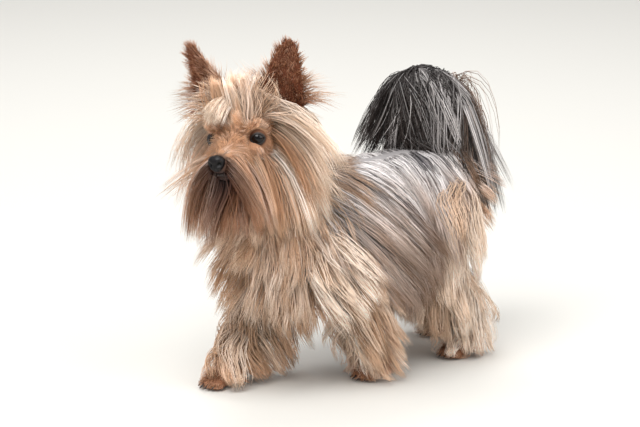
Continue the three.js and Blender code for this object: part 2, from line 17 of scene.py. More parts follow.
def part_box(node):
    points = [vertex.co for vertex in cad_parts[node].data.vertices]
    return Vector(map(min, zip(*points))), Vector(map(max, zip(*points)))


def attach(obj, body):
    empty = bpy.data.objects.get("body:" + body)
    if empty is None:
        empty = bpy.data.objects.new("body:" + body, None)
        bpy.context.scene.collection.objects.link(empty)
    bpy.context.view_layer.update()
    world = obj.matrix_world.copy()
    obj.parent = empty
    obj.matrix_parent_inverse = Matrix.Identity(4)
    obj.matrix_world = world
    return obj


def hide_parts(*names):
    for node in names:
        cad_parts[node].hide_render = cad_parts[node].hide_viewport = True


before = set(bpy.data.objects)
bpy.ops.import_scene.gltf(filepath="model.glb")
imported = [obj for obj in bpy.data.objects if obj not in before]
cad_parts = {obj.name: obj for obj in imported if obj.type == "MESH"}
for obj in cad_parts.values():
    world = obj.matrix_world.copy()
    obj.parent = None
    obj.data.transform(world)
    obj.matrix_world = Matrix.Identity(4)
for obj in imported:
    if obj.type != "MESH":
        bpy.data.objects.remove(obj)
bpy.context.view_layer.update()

# %% [markdown]
# The solids were shifted so that the middle of their box is at the origin. One known point,
# the middle of the left eye, tells how far. The places below are in millimetres, as they
# were measured, and these helpers turn them into metres in the frame. The head is turned and
# tilted, so it gets a frame of its own, in which left and right stay a mere change of sign.

# %% Places on the body and on the head
MM = 0.001
HEAD_ORIGIN = np.array([17.0, -112.0, 257.0])
HEAD_TURN, HEAD_TILT = math.radians(23), math.radians(-8)
HEAD_AXES = np.array(Matrix.Rotation(HEAD_TURN, 3, "Z") @ Matrix.Rotation(HEAD_TILT, 3, "Y"))
SOLID_EYE = np.array([23.0, 8.0, 0.0])
eye_low, eye_high = (np.array(corner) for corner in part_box("eye_left"))
SHIFT = (eye_low + eye_high) / 2 - (HEAD_AXES @ SOLID_EYE + HEAD_ORIGIN) * MM
SHIFT[2] = 0.0


def body_point(x, y, z):
    """A place in millimetres on the body, as metres in the frame."""
    return np.array([x, y, z]) * MM + SHIFT


def head_point(x, y, z):
    """A place in millimetres in the head's own frame: x to its left, y back, z up."""
    return (HEAD_AXES @ np.array([x, y, z]) + HEAD_ORIGIN) * MM + SHIFT


def in_body(points):
    """Places in the frame, as millimetres on the body."""
    return (points - SHIFT) * 1000


def in_head(points):
    """Places in the frame, as millimetres in the head's own frame."""
    return (in_body(points) - HEAD_ORIGIN) @ HEAD_AXES


print("shift in mm", np.round(SHIFT * 1000, 2))

# %% [markdown]
# The camera stands where the photograph was taken from: a little above the dog and in front
# of its left shoulder. It is far off and has a long lens, because a near camera would draw
# the near legs too large beside the far ones.

# %% The camera
AZIMUTH, ELEVATION, DISTANCE = 48, 14, 4.0


def direction(azimuth, elevation):
    """The way from the dog to a place round it, in degrees: 0 is straight in front."""
    a, e = math.radians(azimuth), math.radians(elevation)
    return np.array([math.sin(a) * math.cos(e), -math.cos(a) * math.cos(e), math.sin(e)])


def add_object(name, data):
    """A new object in the scene, at the origin."""
    made = bpy.data.objects.new(name, data)
    bpy.context.collection.objects.link(made)
    return made


def aim_at(thing, target, way, distance):
    """Puts a camera or a lamp that far from a target, facing it."""
    thing.location = target + way * distance
    thing.rotation_euler = Vector(-way).to_track_quat("-Z", "Y").to_euler()


lens = bpy.data.cameras.new("camera")
lens.lens, lens.sensor_width = 234, 36
camera = add_object("camera", lens)
aim_at(camera, body_point(-26.2, 35.9, 153.5), direction(AZIMUTH, ELEVATION), DISTANCE)
bpy.context.scene.camera = camera
print("camera at", np.round(camera.location, 3))

# %% [markdown]
# Shader maths is easier to read as sums than as boxes and wires. This class wraps one socket,
# so that `1 - mask * 0.5` adds the Math nodes by itself, and any other node comes from `node`.


# %% A socket that can be added and multiplied
class Wire:
    def __init__(self, tree, socket=None):
        self.tree, self.socket = tree, socket

    def node(self, kind, settings=None, inputs=None, output=0):
        made = self.tree.nodes.new(kind)
        for name, value in (settings or {}).items():
            setattr(made, name, value)
        for name, value in (inputs or {}).items():
            if isinstance(value, Wire):
                self.tree.links.new(value.socket, made.inputs[name])
            else:
                made.inputs[name].default_value = value
        return Wire(self.tree, made.outputs[output])

    def _sum(self, operation, first, second):
        return self.node("ShaderNodeMath", {"operation": operation}, {0: first, 1: second})

    def __add__(self, other):
        return self._sum("ADD", self, other)

    def __sub__(self, other):
        return self._sum("SUBTRACT", self, other)

    def __rsub__(self, other):
        return self._sum("SUBTRACT", other, self)

    def __mul__(self, other):
        return self._sum("MULTIPLY", self, other)

    __radd__, __rmul__ = __add__, __mul__

    def blend(self, first, second):
        """From the first colour to the second as this mask goes from 0 to 1."""
        return self.node(
            "ShaderNodeMix", {"data_type": "RGBA"}, {0: self, 6: first, 7: second}, output=2
        )

    def mark(self, name):
        """A number that the mesh carries at each of its points."""
        return self.node("ShaderNodeAttribute", {"attribute_name": name}, output=2)


# %% [markdown]
# A finish is one Principled shader. What varies over a surface comes in by wires, and what is
# the same all over is set on the shader's own socket. Colours are written as on the web
# and turned here into the linear values of light.


# %% Colours and finishes
def colour(code):
    """A colour written as on the web, in the linear values that shaders use."""
    parts = [int(code[i : i + 2], 16) / 255 for i in (0, 2, 4)]
    return tuple(c / 12.92 if c <= 0.04045 else ((c + 0.055) / 1.055) ** 2.4 for c in parts) + (1.0,)


def finish(name, paint, **fixed):
    """A material: `paint` gets a wire and gives what varies, `fixed` are plain numbers."""
    material = bpy.data.materials.new(name)
    material.use_nodes = True
    shader = material.node_tree.nodes["Principled BSDF"]
    for socket, value in fixed.items():
        shader.inputs[socket.replace("_", " ")].default_value = value
    for socket, value in paint(Wire(material.node_tree)).items():
        material.node_tree.links.new(value.socket, shader.inputs[socket])
    return material


def mottled(first, second, scale):
    """Paint for a surface of two close colours that noise mixes."""

    def paint(wire):
        noise = wire.node("ShaderNodeTexNoise", {}, {"Scale": scale})
        return {"Base Color": noise.blend(colour(first), colour(second))}

    return paint


print("mid grey in linear values", round(colour("808080")[0], 3))

# %% [markdown]
# The skin starts as simple rounded forms along the bones, each the hull of two ellipsoids.
# A voxel remesh then melts them into one closed surface and a smooth relaxes the joins. It
# could be sculpted by hand, but named sizes are easier to keep in step with the solids.
# A station of the trunk, muzzle or jaw is its y, its z, half its width and half its height.

# %% Sizes of the body under the coat, in millimetres
TRUNK = [
    (-54.4, 147, 22, 30),
    (-38.4, 150, 37, 48),
    (-8, 153, 44, 57),
    (34, 155, 45, 53),
    (82, 159, 41, 47),
    (126, 162, 41, 45),
    (160, 162, 36, 40),
    (176, 161, 22, 26),
]
NECK = [(0, -24, 174), (0, -42, 205), (4, -62, 226)], [33, 29, 25]
LEGS = {
    "foreleg_left": ([(34, -20, 138), (38, 16, 100), (37, 40, 38), (35, 48, 16)], [25, 15, 10, 9]),
    "foreleg_right": (
        [(-34, -30, 138), (-38, -20, 100), (-39, -60, 38), (-40, -72, 16)],
        [25, 15, 10, 9],
    ),
    "hindleg_left": ([(28, 146, 152), (34, 124, 108), (34, 176, 60), (34, 170, 16)], [32, 21, 10, 9]),
    "hindleg_right": (
        [(-28, 150, 152), (-34, 142, 106), (-36, 206, 64), (-36, 210, 17)],
        [32, 21, 10, 9],
    ),
}
PAWS = {
    "foreleg_left": (35, 51),
    "foreleg_right": (-40, -77),
    "hindleg_left": (34, 166),
    "hindleg_right": (-36, 207),
}
TOES, TOE_PITCH, TOE_ARC = (-1.5, -0.5, 0.5, 1.5), 6.2, 1.6
TAIL = [
    (0, 168, 186),
    (0, 192, 222),
    (-3, 196, 252),
    (-9, 180, 272),
    (-16, 154, 280),
    (-21, 132, 274),
]
print("trunk", TRUNK[-1][0] - TRUNK[0][0], "mm long,", len(LEGS), "legs,", len(TAIL), "tail knots")

# %% Sizes of the head, in millimetres in its own frame
SKULL, SKULL_SIZE = np.array([0, 34, 6]), np.array([31, 35, 28])
MUZZLE = [(14, -9, 23, 18), (-6, -12.5, 17, 13.5), (-20.4, -15.5, 14, 11), (-33, -17.5, 10.5, 8.5)]
JAW = [(18, -27, 16, 8), (-8, -30.5, 11.5, 6), (-26, -30, 7, 4)]
EYE, EYE_RADIUS = np.array([21.8, 9.3, -1.4]), 7.9
NOSE = np.array([0.0, -37.0, -15.2])
EAR_BASE, EAR_TIP, EAR_HALF = np.array([32.0, 42.0, 24.0]), np.array([53.0, 38.0, 84.0]), 25.0
print("eyes", 2 * EYE[0], "mm apart, ear", np.round(np.linalg.norm(EAR_TIP - EAR_BASE)), "mm high")

# %% [markdown]
# The same sizes are used twice. The forms make the skin that is seen, and a list of round
# cones, each a ball that rolls along a line and changes its size, stands in for it wherever
# the coat has to know how far away the body is. Cones are much quicker to ask than a mesh.

# %% Rounded forms and the cones beside them
form = bmesh.new()
cones = []


def ellipsoid(centre, radii, axes=np.eye(3), cuts=16):
    made = bmesh.ops.create_uvsphere(form, u_segments=cuts, v_segments=cuts // 2 + 2, radius=1)["verts"]
    place = Matrix.Translation(centre) @ Matrix(axes).to_4x4() @ Matrix.Diagonal((*radii, 1))
    bmesh.ops.transform(form, matrix=place, verts=made)
    return made


def hull(first, first_radii, second, second_radii, axes=np.eye(3)):
    verts = ellipsoid(first, first_radii, axes) + ellipsoid(second, second_radii, axes)
    ends = set(verts)
    bmesh.ops.delete(form, geom=[f for f in form.faces if f.verts[0] in ends], context="FACES_ONLY")
    made = bmesh.ops.convex_hull(form, input=verts)
    bmesh.ops.delete(form, geom=made["geom_interior"], context="VERTS")


def loft(stations, point, squeeze, axes=np.eye(3)):
    """Hulls from station to station; squeeze makes the ellipsoids thin from front to back."""
    for (y0, z0, w0, t0), (y1, z1, w1, t1) in zip(stations, stations[1:]):
        first = (w0 * MM, min(w0, t0) * squeeze, t0 * MM)
        second = (w1 * MM, min(w1, t1) * squeeze, t1 * MM)
        hull(point(0, y0, z0), first, point(0, y1, z1), second, axes)


def cone(part, first, second, first_radius, second_radius):
    """One round cone of the field, in metres."""
    cones.append((part, np.array(first), np.array(second), first_radius, second_radius))


def chain(part, joints, radii):
    """Hulls and cones from joint to joint, in millimetres on the body."""
    points, radii = [body_point(*joint) for joint in joints], [radius * MM for radius in radii]
    for i in range(len(points) - 1):
        hull(points[i], (radii[i],) * 3, points[i + 1], (radii[i + 1],) * 3)
        cone(part, points[i], points[i + 1], radii[i], radii[i + 1])


# %% Trunk, neck, legs and tail
loft(TRUNK, body_point, 0.0005)
for (y0, z0, w0, t0), (y1, z1, w1, t1) in zip(TRUNK, TRUNK[1:]):
    for rise in (-1, 0, 1):
        low = body_point(0, y0, z0 + rise * (t0 - w0))
        high = body_point(0, y1, z1 + rise * (t1 - w1))
        cone("torso", low, high, w0 * MM, w1 * MM)
chain("neck", *NECK)
for name, (joints, radii) in LEGS.items():
    chain(name, joints, radii)
chain("tail", TAIL, [8 - 0.9 * i for i in range(len(TAIL))])
print(len(cones), "round cones so far")

# %% Head and feet
for stations in (MUZZLE, JAW):
    loft(stations, head_point, 0.0006, HEAD_AXES)
ellipsoid(head_point(*SKULL), tuple(SKULL_SIZE / 1000), HEAD_AXES, 24)
ellipsoid(head_point(0, 24, -10), (0.029, 0.027, 0.019), HEAD_AXES, 24)
cone("head", head_point(*SKULL), head_point(0, 30, -2), 0.031, 0.028)
cone("head", head_point(0, 20, -10), head_point(0, -28, -19.5), 0.024, 0.010)
cone("head", head_point(0, 14, -24), head_point(0, -22, -28.5), 0.012, 0.006)
for side in (-1, 1):
    ellipsoid(head_point(side * 15, 5, 12), (0.009, 0.008, 0.006), HEAD_AXES)
    ellipsoid(head_point(side * 18, 4, -12), (0.009, 0.010, 0.008), HEAD_AXES)
for name, (x, y) in PAWS.items():
    ellipsoid(body_point(x, y, 8), (0.0125, 0.017, 0.0078), cuts=20)
    for k in TOES:
        toe = body_point(x + k * TOE_PITCH, y - 15.5 + TOE_ARC * k * k, 5.2)
        ellipsoid(toe, (0.0046, 0.0068, 0.0051), cuts=12)
    cone(name + "_paw", body_point(x, y + 6, 9), body_point(x, y - 12, 7), 0.010, 0.008)
print(len(cones), "round cones in the field")

# %% [markdown]
# An ear is a thin cupped sheet of gristle. It could be cut from a cone, but a grid of points
# gives it its leaf shape directly. Its back lies a few millimetres behind its front, and it
# goes into the same remesh, so that it grows out of the skull without a seam.

# %% Ears
EAR_WALL = 1.4


def ear_frame(side):
    """Root, way up, way it faces, way across and height of the ear on one side."""
    base, tip = EAR_BASE * (side, 1, 1), EAR_TIP * (side, 1, 1)
    up = (tip - base) / np.linalg.norm(tip - base)
    facing = np.array([side * 0.45, -0.9, 0.05])
    facing -= up * facing.dot(up)
    facing /= np.linalg.norm(facing)
    return base, up, facing, np.cross(up, facing), np.linalg.norm(tip - base)


def ear_half(share):
    """Half the ear's width at a share of its height."""
    return EAR_HALF * (1 - share * 0.97) ** 0.62


def ear_sheet(side, offset, rows=14, columns=12, curl=1.2):
    base, up, facing, across, height = ear_frame(side)
    points = []
    for r in range(rows + 1):
        t = r / rows
        half = ear_half(t)
        for c in range(columns + 1):
            turn = (2 * c / columns - 1) * curl
            breadth = math.sin(turn) * (half / math.sin(curl) + offset)
            depth = 0.7 * half * (0.5 - math.cos(turn)) - math.cos(turn) * offset
            points.append(base + up * ((height + 8) * t - 8) + across * breadth + facing * depth)
    return [head_point(*p) for p in points], columns + 1


for side in (-1, 1):
    outer, width = ear_sheet(side, EAR_WALL)
    inner, _ = ear_sheet(side, -EAR_WALL)
    grids = [[form.verts.new(p) for p in sheet] for sheet in (outer, inner)]
    rows = len(outer) // width
    for r in range(rows - 1):
        for c in range(width - 1):
            corners = [r * width + c, r * width + c + 1, (r + 1) * width + c + 1, (r + 1) * width + c]
            form.faces.new([grids[0][i] for i in corners])
            form.faces.new([grids[1][i] for i in reversed(corners)])
    rim = list(range(width)) + [r * width + width - 1 for r in range(1, rows)]
    rim += [(rows - 1) * width + c for c in range(width - 2, -1, -1)]
    rim += [r * width for r in range(rows - 2, 0, -1)]
    for a, b in zip(rim, rim[1:] + rim[:1]):
        form.faces.new([grids[0][b], grids[0][a], grids[1][a], grids[1][b]])
print("forms have", len(form.faces), "faces before the remesh")

# %% One closed skin
VOXEL = 0.0017
bmesh.ops.recalc_face_normals(form, faces=form.faces)
skin_mesh = bpy.data.meshes.new("skin")
form.to_mesh(skin_mesh)
form.free()
skin = add_object("skin", skin_mesh)
melt = skin.modifiers.new("melt", "REMESH")
melt.mode, melt.voxel_size = "VOXEL", VOXEL
relax = skin.modifiers.new("relax", "SMOOTH")
relax.factor, relax.iterations = 0.5, 5
ready = bpy.context.evaluated_depsgraph_get()
smooth_mesh = bpy.data.meshes.new_from_object(skin.evaluated_get(ready))
skin.modifiers.clear()
skin.data = smooth_mesh
skin.data.shade_smooth()
print("skin has", len(smooth_mesh.polygons), "faces")

# %% [markdown]
# When the finishes are baked for the export, each tuft takes its colour from a small patch at
# its root's place on the skin's own unwrap. Tufts could each have an island of their own, but
# there are too many for one picture. So the skin is unwrapped once here, by the directions in
# which its faces look, and its points are read into arrays for the steps that follow.

# %% The skin's unwrap
bpy.context.view_layer.objects.active = skin
skin.select_set(True)
bpy.ops.object.mode_set(mode="EDIT")
bpy.ops.mesh.select_all(action="SELECT")
bpy.ops.uv.smart_project(angle_limit=math.radians(66), island_margin=0.002)
bpy.ops.object.mode_set(mode="OBJECT")
skin.data.uv_layers[0].name = "OFBake"
skin.data.calc_loop_triangles()


def read(source, field, width, kind=float):
    """One field of every point, triangle or corner, as rows of an array."""
    values = np.empty(len(source) * width, kind)
    source.foreach_get(field, values)
    return values.reshape(-1, width)


triangles = read(skin.data.loop_triangles, "vertices", 3, np.int32)
corners = read(skin.data.loop_triangles, "loops", 3, np.int32)
skin_points = read(skin.data.vertices, "co", 3)
skin_normals = read(skin.data.vertices, "normal", 3)
skin_uv = read(skin.data.uv_layers["OFBake"].data, "uv", 2)
print("unwrapped", len(triangles), "triangles")

# %% [markdown]
# Hair must lie on the body and not run through it. A ray to the mesh could test each point of
# each tuft, but there are hundreds of thousands. The round cones answer at once for them all
# how far outside the body they are, and the slope of that answer points outwards.

# %% Distance to the body and the way out
FIRST = np.array([c[1] for c in cones], np.float32)
SPAN = np.array([c[2] for c in cones], np.float32) - FIRST
REACH = np.maximum((SPAN**2).sum(1), 1e-9)
RADIUS = np.array([c[3] for c in cones], np.float32)
GROWTH = np.array([c[4] for c in cones], np.float32) - RADIUS
PART = np.array([c[0] for c in cones])


def to_cones(points):
    apart = points[:, None, :].astype(np.float32) - FIRST
    t = np.clip((apart * SPAN).sum(2) / REACH, 0, 1)
    near = np.sqrt(((apart - t[..., None] * SPAN) ** 2).sum(2))
    return near - (RADIUS + t * GROWTH)


def in_chunks(work, points, size=20000):
    return np.concatenate([work(points[i : i + size]) for i in range(0, len(points), size)])


def clearance(points):
    """How far outside the body each point is."""
    return in_chunks(lambda p: to_cones(p).min(1), points)


def way_out(points, step=0.0015):
    here = clearance(points)
    slope = np.stack([clearance(points + step * axis) - here for axis in np.eye(3)], 1)
    return slope / np.maximum(np.linalg.norm(slope, axis=1, keepdims=True), 1e-9)


def part_of(points):
    """The name of the nearest part of the body."""
    return PART[in_chunks(lambda p: to_cones(p).argmin(1), points)]


off_field = np.abs(clearance(skin_points[::40])).mean() * 1000
print("the skin lies", round(off_field, 1), "mm from the cones on average, ears included")

# %% [markdown]
# Three small helpers serve every rule below: a smooth step between two values, vectors cut
# to length one, and vectors put together from three columns.


# %% Helpers for the rules
def soft(value, low, high):
    """0 below low, 1 above high and a smooth step between; low may be the larger one."""
    t = np.clip((value - low) / (high - low), 0, 1)
    return t * t * (3 - 2 * t)


def unit(vectors):
    return vectors / np.maximum(np.linalg.norm(vectors, axis=-1, keepdims=True), 1e-9)


def as_vectors(*parts):
    """Vectors from three columns, each one number or a value for each vector."""
    return np.stack(np.broadcast_arrays(*parts), 1).astype(float)


print("soft steps from 0 to 1:", [round(float(soft(t, 0, 1)), 2) for t in (0.0, 0.25, 0.5, 0.75, 1.0)])

# %% [markdown]
# The skin is sorted into the regions that a groomer would name. A region decides how many
# tufts grow there, how long they are and which way they lie. Regions could be painted by
# hand as vertex groups, but rules on place survive every change of the body's sizes.

# %% Regions of the skin
triangle_points = skin_points[triangles]
centre = triangle_points.mean(1)
edges = triangle_points[:, 1:] - triangle_points[:, :1]
area = np.linalg.norm(np.cross(edges[:, 0], edges[:, 1]), axis=1) / 2
outwards = unit(skin_normals[triangles].sum(1))
local = in_head(centre)
part_name = part_of(centre)
print("the skin's area is", round(area.sum() * 10000), "square centimetres")


# %% Where the ears are
def ear_share(points, side):
    """How far up an ear a place lies, from 0 to 1, and how far it is from its middle line."""
    base, up, _, _, height = ear_frame(side)
    rise = (points - base) @ up
    off = np.linalg.norm(points - base - rise[:, None] * up, axis=1)
    return rise / height, off


def ear_place(points):
    """ear_share for whichever ear is nearer."""
    left, right = ear_share(points, 1), ear_share(points, -1)
    near = points[:, 0] > 0
    return np.where(near, left[0], right[0]), np.where(near, left[1], right[1])


def ear_region(points):
    """Places on an ear: within its reach, off the skull and above the cheeks."""
    rise, off = ear_place(points)
    skull_gap = np.sqrt((((points - SKULL) / SKULL_SIZE) ** 2).sum(1))
    return (rise > 0.0) & (rise < 1.1) & (off < 30) & (skull_gap > 1.12) & (points[:, 2] > 18)


is_ear = ear_region(local)
is_head = (part_name == "head") & ~is_ear
print("head faces", is_head.sum(), "ear faces", is_ear.sum())

# %% Bare skin, face, legs and feet
BARE_EYE, BARE_NOSE, LIP_HEIGHT = 8.9, 8, -26.5
aside, behind, above = np.abs(local[:, 0]), local[:, 1], local[:, 2]
eye_gap = np.linalg.norm(as_vectors(aside, behind, above) - EYE, axis=1)
is_bare = is_head & (eye_gap < BARE_EYE)
is_bare |= is_head & (np.linalg.norm(local - NOSE, axis=1) < BARE_NOSE)
is_bare |= is_head & (aside < 6) & (behind < -20) & (np.abs(above - LIP_HEIGHT) < 3.5)
is_face = is_head & (behind < 22) & (above > -13 - 0.15 * behind) & (above <= 15) & (aside < 31)
is_paw = np.array([name.endswith("_paw") for name in part_name])
is_leg = np.array(["leg" in name for name in part_name]) & ~is_paw
is_paw |= is_leg & (in_body(centre)[:, 2] < 9)
is_leg &= ~is_paw
print("face faces", is_face.sum(), "leg faces", is_leg.sum(), "foot faces", is_paw.sum())

# %% [markdown]
# Tufts are drawn from seeded random numbers, so each run gives the same coat. A root is a
# random place on a random triangle, and large triangles are drawn more often than small
# ones, because otherwise hair would be thickest wherever the mesh is finest.

# %% Roots
dice = np.random.default_rng(12)


def plant(mask, count, density=None):
    """Roots on the masked skin: place, normal and place on the unwrap."""
    weight = area * mask
    if density is not None:
        weight = weight * density
    weight /= weight.sum()
    pick = dice.choice(len(weight), count, p=weight)
    a, b = np.sqrt(dice.random(count)), dice.random(count)
    share = np.stack([1 - a, a * (1 - b), a * b], 1)[..., None]
    place = (skin_points[triangles[pick]] * share).sum(1)
    normal = unit((skin_normals[triangles[pick]] * share).sum(1))
    patch = (skin_uv[corners[pick]] * share).sum(1)
    return place, normal, patch


# %% [markdown]
# One tuft is traced in steps: it leaves the skin along its own way, is pulled towards where
# its weight takes it, and is pushed out again wherever it would enter the body. The first
# steps are short, so that hair which grows upwards can turn over near its root.

# %% Tracing a tuft
FLOOR_GAP = 0.0025


def trace(roots, way, length, fall, pull, depth, steps):
    paths = [roots]
    heading, point = unit(way), roots.copy()
    share = np.linspace(0.5, 1.5, steps) / steps
    for i in range(1, steps + 1):
        heading = unit(heading + pull * fall[:, None])
        point = point + heading * (length * share[i - 1])[:, None]
        short = depth * (0.25 + 0.75 * i / steps) - clearance(point)
        inside = short > 0
        if inside.any():
            point[inside] += way_out(point[inside]) * short[inside, None]
        point[:, 2] = np.maximum(point[:, 2], FLOOR_GAP + 0.002 * (1 - i / steps))
        heading = unit(point - paths[-1])
        paths.append(point.copy())
    return np.stack(paths, 1)


# %% [markdown]
# Long hair doesn't hang singly. It gathers in locks that share one tip and one wave. Each
# tuft leans to the nearest guide, first in broad locks and then in narrow ones, and each
# lock swings to and fro in its own time and has its own tone.

# %% Gathering tufts into locks
WAVE_TURN = 6.28
BROAD = 5


def nearest(points, guides):
    found = []
    for i in range(0, len(points), 2000):
        gap = ((points[i : i + 2000, None] - guides[None]) ** 2).sum(2)
        found.append(gap.argmin(1))
    return np.concatenate(found)


def gather(paths, share, strength, wave, wave_length, length):
    """Pulls tufts into locks that swing, and gives the paths and each tuft's lock tone."""
    count, steps = len(paths), paths.shape[1] - 1
    t = np.linspace(0, 1, steps + 1)
    tone = np.zeros(count)
    for part, hold, swing, period in ((share / BROAD, 0.5, 1.3, 1.6), (share, strength, 0.5, 1.0)):
        guides = dice.choice(count, max(4, int(count * part)), replace=False)
        mine = guides[nearest(paths[:, 0] + dice.normal(0, 0.0012, (count, 3)), paths[guides, 0])]
        lead = paths[mine]
        start = (paths[:, :1] - lead[:, :1]) * (1 - 0.82 * t)[None, :, None]
        own = hold * (0.65 + 0.35 * dice.random((count, 1, 1)))
        paths = paths + (lead + start - paths) * own * (t**0.8)[None, :, None]
        phase = dice.random(count)[mine][:, None] * WAVE_TURN
        bend = t[None] * (length / (wave_length * period))[:, None] * WAVE_TURN + phase
        side = unit(np.cross(paths[:, -1] - paths[:, 0], [0.2, 0.1, 1.0]))[:, None]
        lift = unit(np.cross(side[:, 0], paths[:, -1] - paths[:, 0]))[:, None]
        size = wave[:, None] * t[None] ** 0.7 * swing
        paths = paths + side * (np.sin(bend) * size)[..., None]
        paths = paths + lift * (np.cos(bend * 0.8) * size * 0.5)[..., None]
        tone += dice.random(count)[mine] * 0.5
    paths[:, :, 2] = np.maximum(paths[:, :, 2], 0.0012)
    return paths, np.clip((tone - 0.5) * 1.5 + 0.5, 0, 1)


# %% [markdown]
# A tuft is a thin closed strip with three sides that narrows to one point. A flat ribbon
# would be lighter, but it vanishes when it is seen from its edge. Three sides are the fewest
# that stay solid from everywhere, so the coat can be dense and still light.

# %% Tufts as mesh
PATCH = 0.003


def write_mark(mesh, name, values):
    """Stores a number at each point of a mesh, for its finish to read."""
    layer = mesh.attributes.new(name, "FLOAT", "POINT")
    layer.data.foreach_set("value", np.asarray(values, np.float32))


def tuft_faces(rings):
    """Corners of one tuft's triangles: a base, the sides between rings and three at the tip."""
    faces = [(2, 1, 0)]
    for r in range(rings - 1):
        for s in range(3):
            a, b = r * 3 + s, r * 3 + (s + 1) % 3
            faces += [(a, b, b + 3), (a, b + 3, a + 3)]
    last = (rings - 1) * 3
    faces += [(last + s, last + (s + 1) % 3, rings * 3) for s in range(3)]
    return np.array(faces)


def tuft_mesh(name, paths, normals, patches, width, marks):
    """Joins all tufts of a region in one mesh, with its marks and its map of colour patches."""
    count, rings = len(paths), paths.shape[1] - 1
    way = unit(paths[:, 1:] - paths[:, :-1])
    across = unit(np.cross(way, normals[:, None] + 0.35 * dice.normal(0, 1, (count, 1, 3))))
    lift = np.cross(across, way)
    t = np.arange(rings) / rings
    taper = (0.62 + 0.38 * np.sin(np.pi * np.minimum(t * 1.4 + 0.1, 1))) * (1 - 0.45 * t**2)
    half = (width / 2)[:, None] * taper[None]
    turns = ((1.0, -0.35), (0.0, 0.55), (-1.0, -0.35))
    ring = [
        paths[:, :-1] + across * (half * a)[..., None] + lift * (half * b)[..., None] for a, b in turns
    ]
    body = np.stack(ring, 2).reshape(count, rings * 3, 3)
    points = np.concatenate([body, paths[:, -1:]], 1)
    size = rings * 3 + 1
    faces = tuft_faces(rings)
    index = (faces[None] + (np.arange(count) * size)[:, None, None]).reshape(-1, 3)
    mesh = bpy.data.meshes.new(name)
    mesh.vertices.add(count * size)
    mesh.vertices.foreach_set("co", points.reshape(-1))
    mesh.loops.add(index.size)
    mesh.loops.foreach_set("vertex_index", index.reshape(-1).astype(np.int32))
    mesh.polygons.add(len(index))
    mesh.polygons.foreach_set("loop_start", np.arange(0, index.size, 3, dtype=np.int32))
    mesh.polygons.foreach_set("use_smooth", np.ones(len(index), bool))
    mesh.update(calc_edges=True)
    level = np.minimum(np.arange(size) // 3, rings) / rings
    spot = np.stack([np.arange(size) % 3 / 3, level], 1) - 0.5
    uv = patches[:, None] + spot[None, faces.reshape(-1)] * PATCH
    mesh.uv_layers.new(name="OFBake").data.foreach_set("uv", np.clip(uv, 0, 1).reshape(-1))
    for mark, values in {**marks, "pick": dice.random(count)}.items():
        write_mark(mesh, mark, np.repeat(values, size))
    write_mark(mesh, "along", np.tile(level, count))
    widest = np.abs(points[..., 0]).max()
    print(name, count, "tufts,", len(index), "triangles, out to", round(widest * 1000, 1), "mm")
    return add_object(name, mesh)


# %% [markdown]
# The breed is two-coloured: steel on the body, nearly black on the tail, tan on head, chest
# and legs, darkest round the mouth and on the ears. It could be painted on the skin, but
# smooth rules on the place of a root give skin and coat the same marks, at any density.


# %% Markings
def tail_spot(points):
    """The nearest knot of the tail and how far to its left a place is, in millimetres."""
    knots = np.array(TAIL, float)
    spot = nearest(in_body(points), knots)
    return spot, in_body(points)[:, 0] - knots[spot, 0]


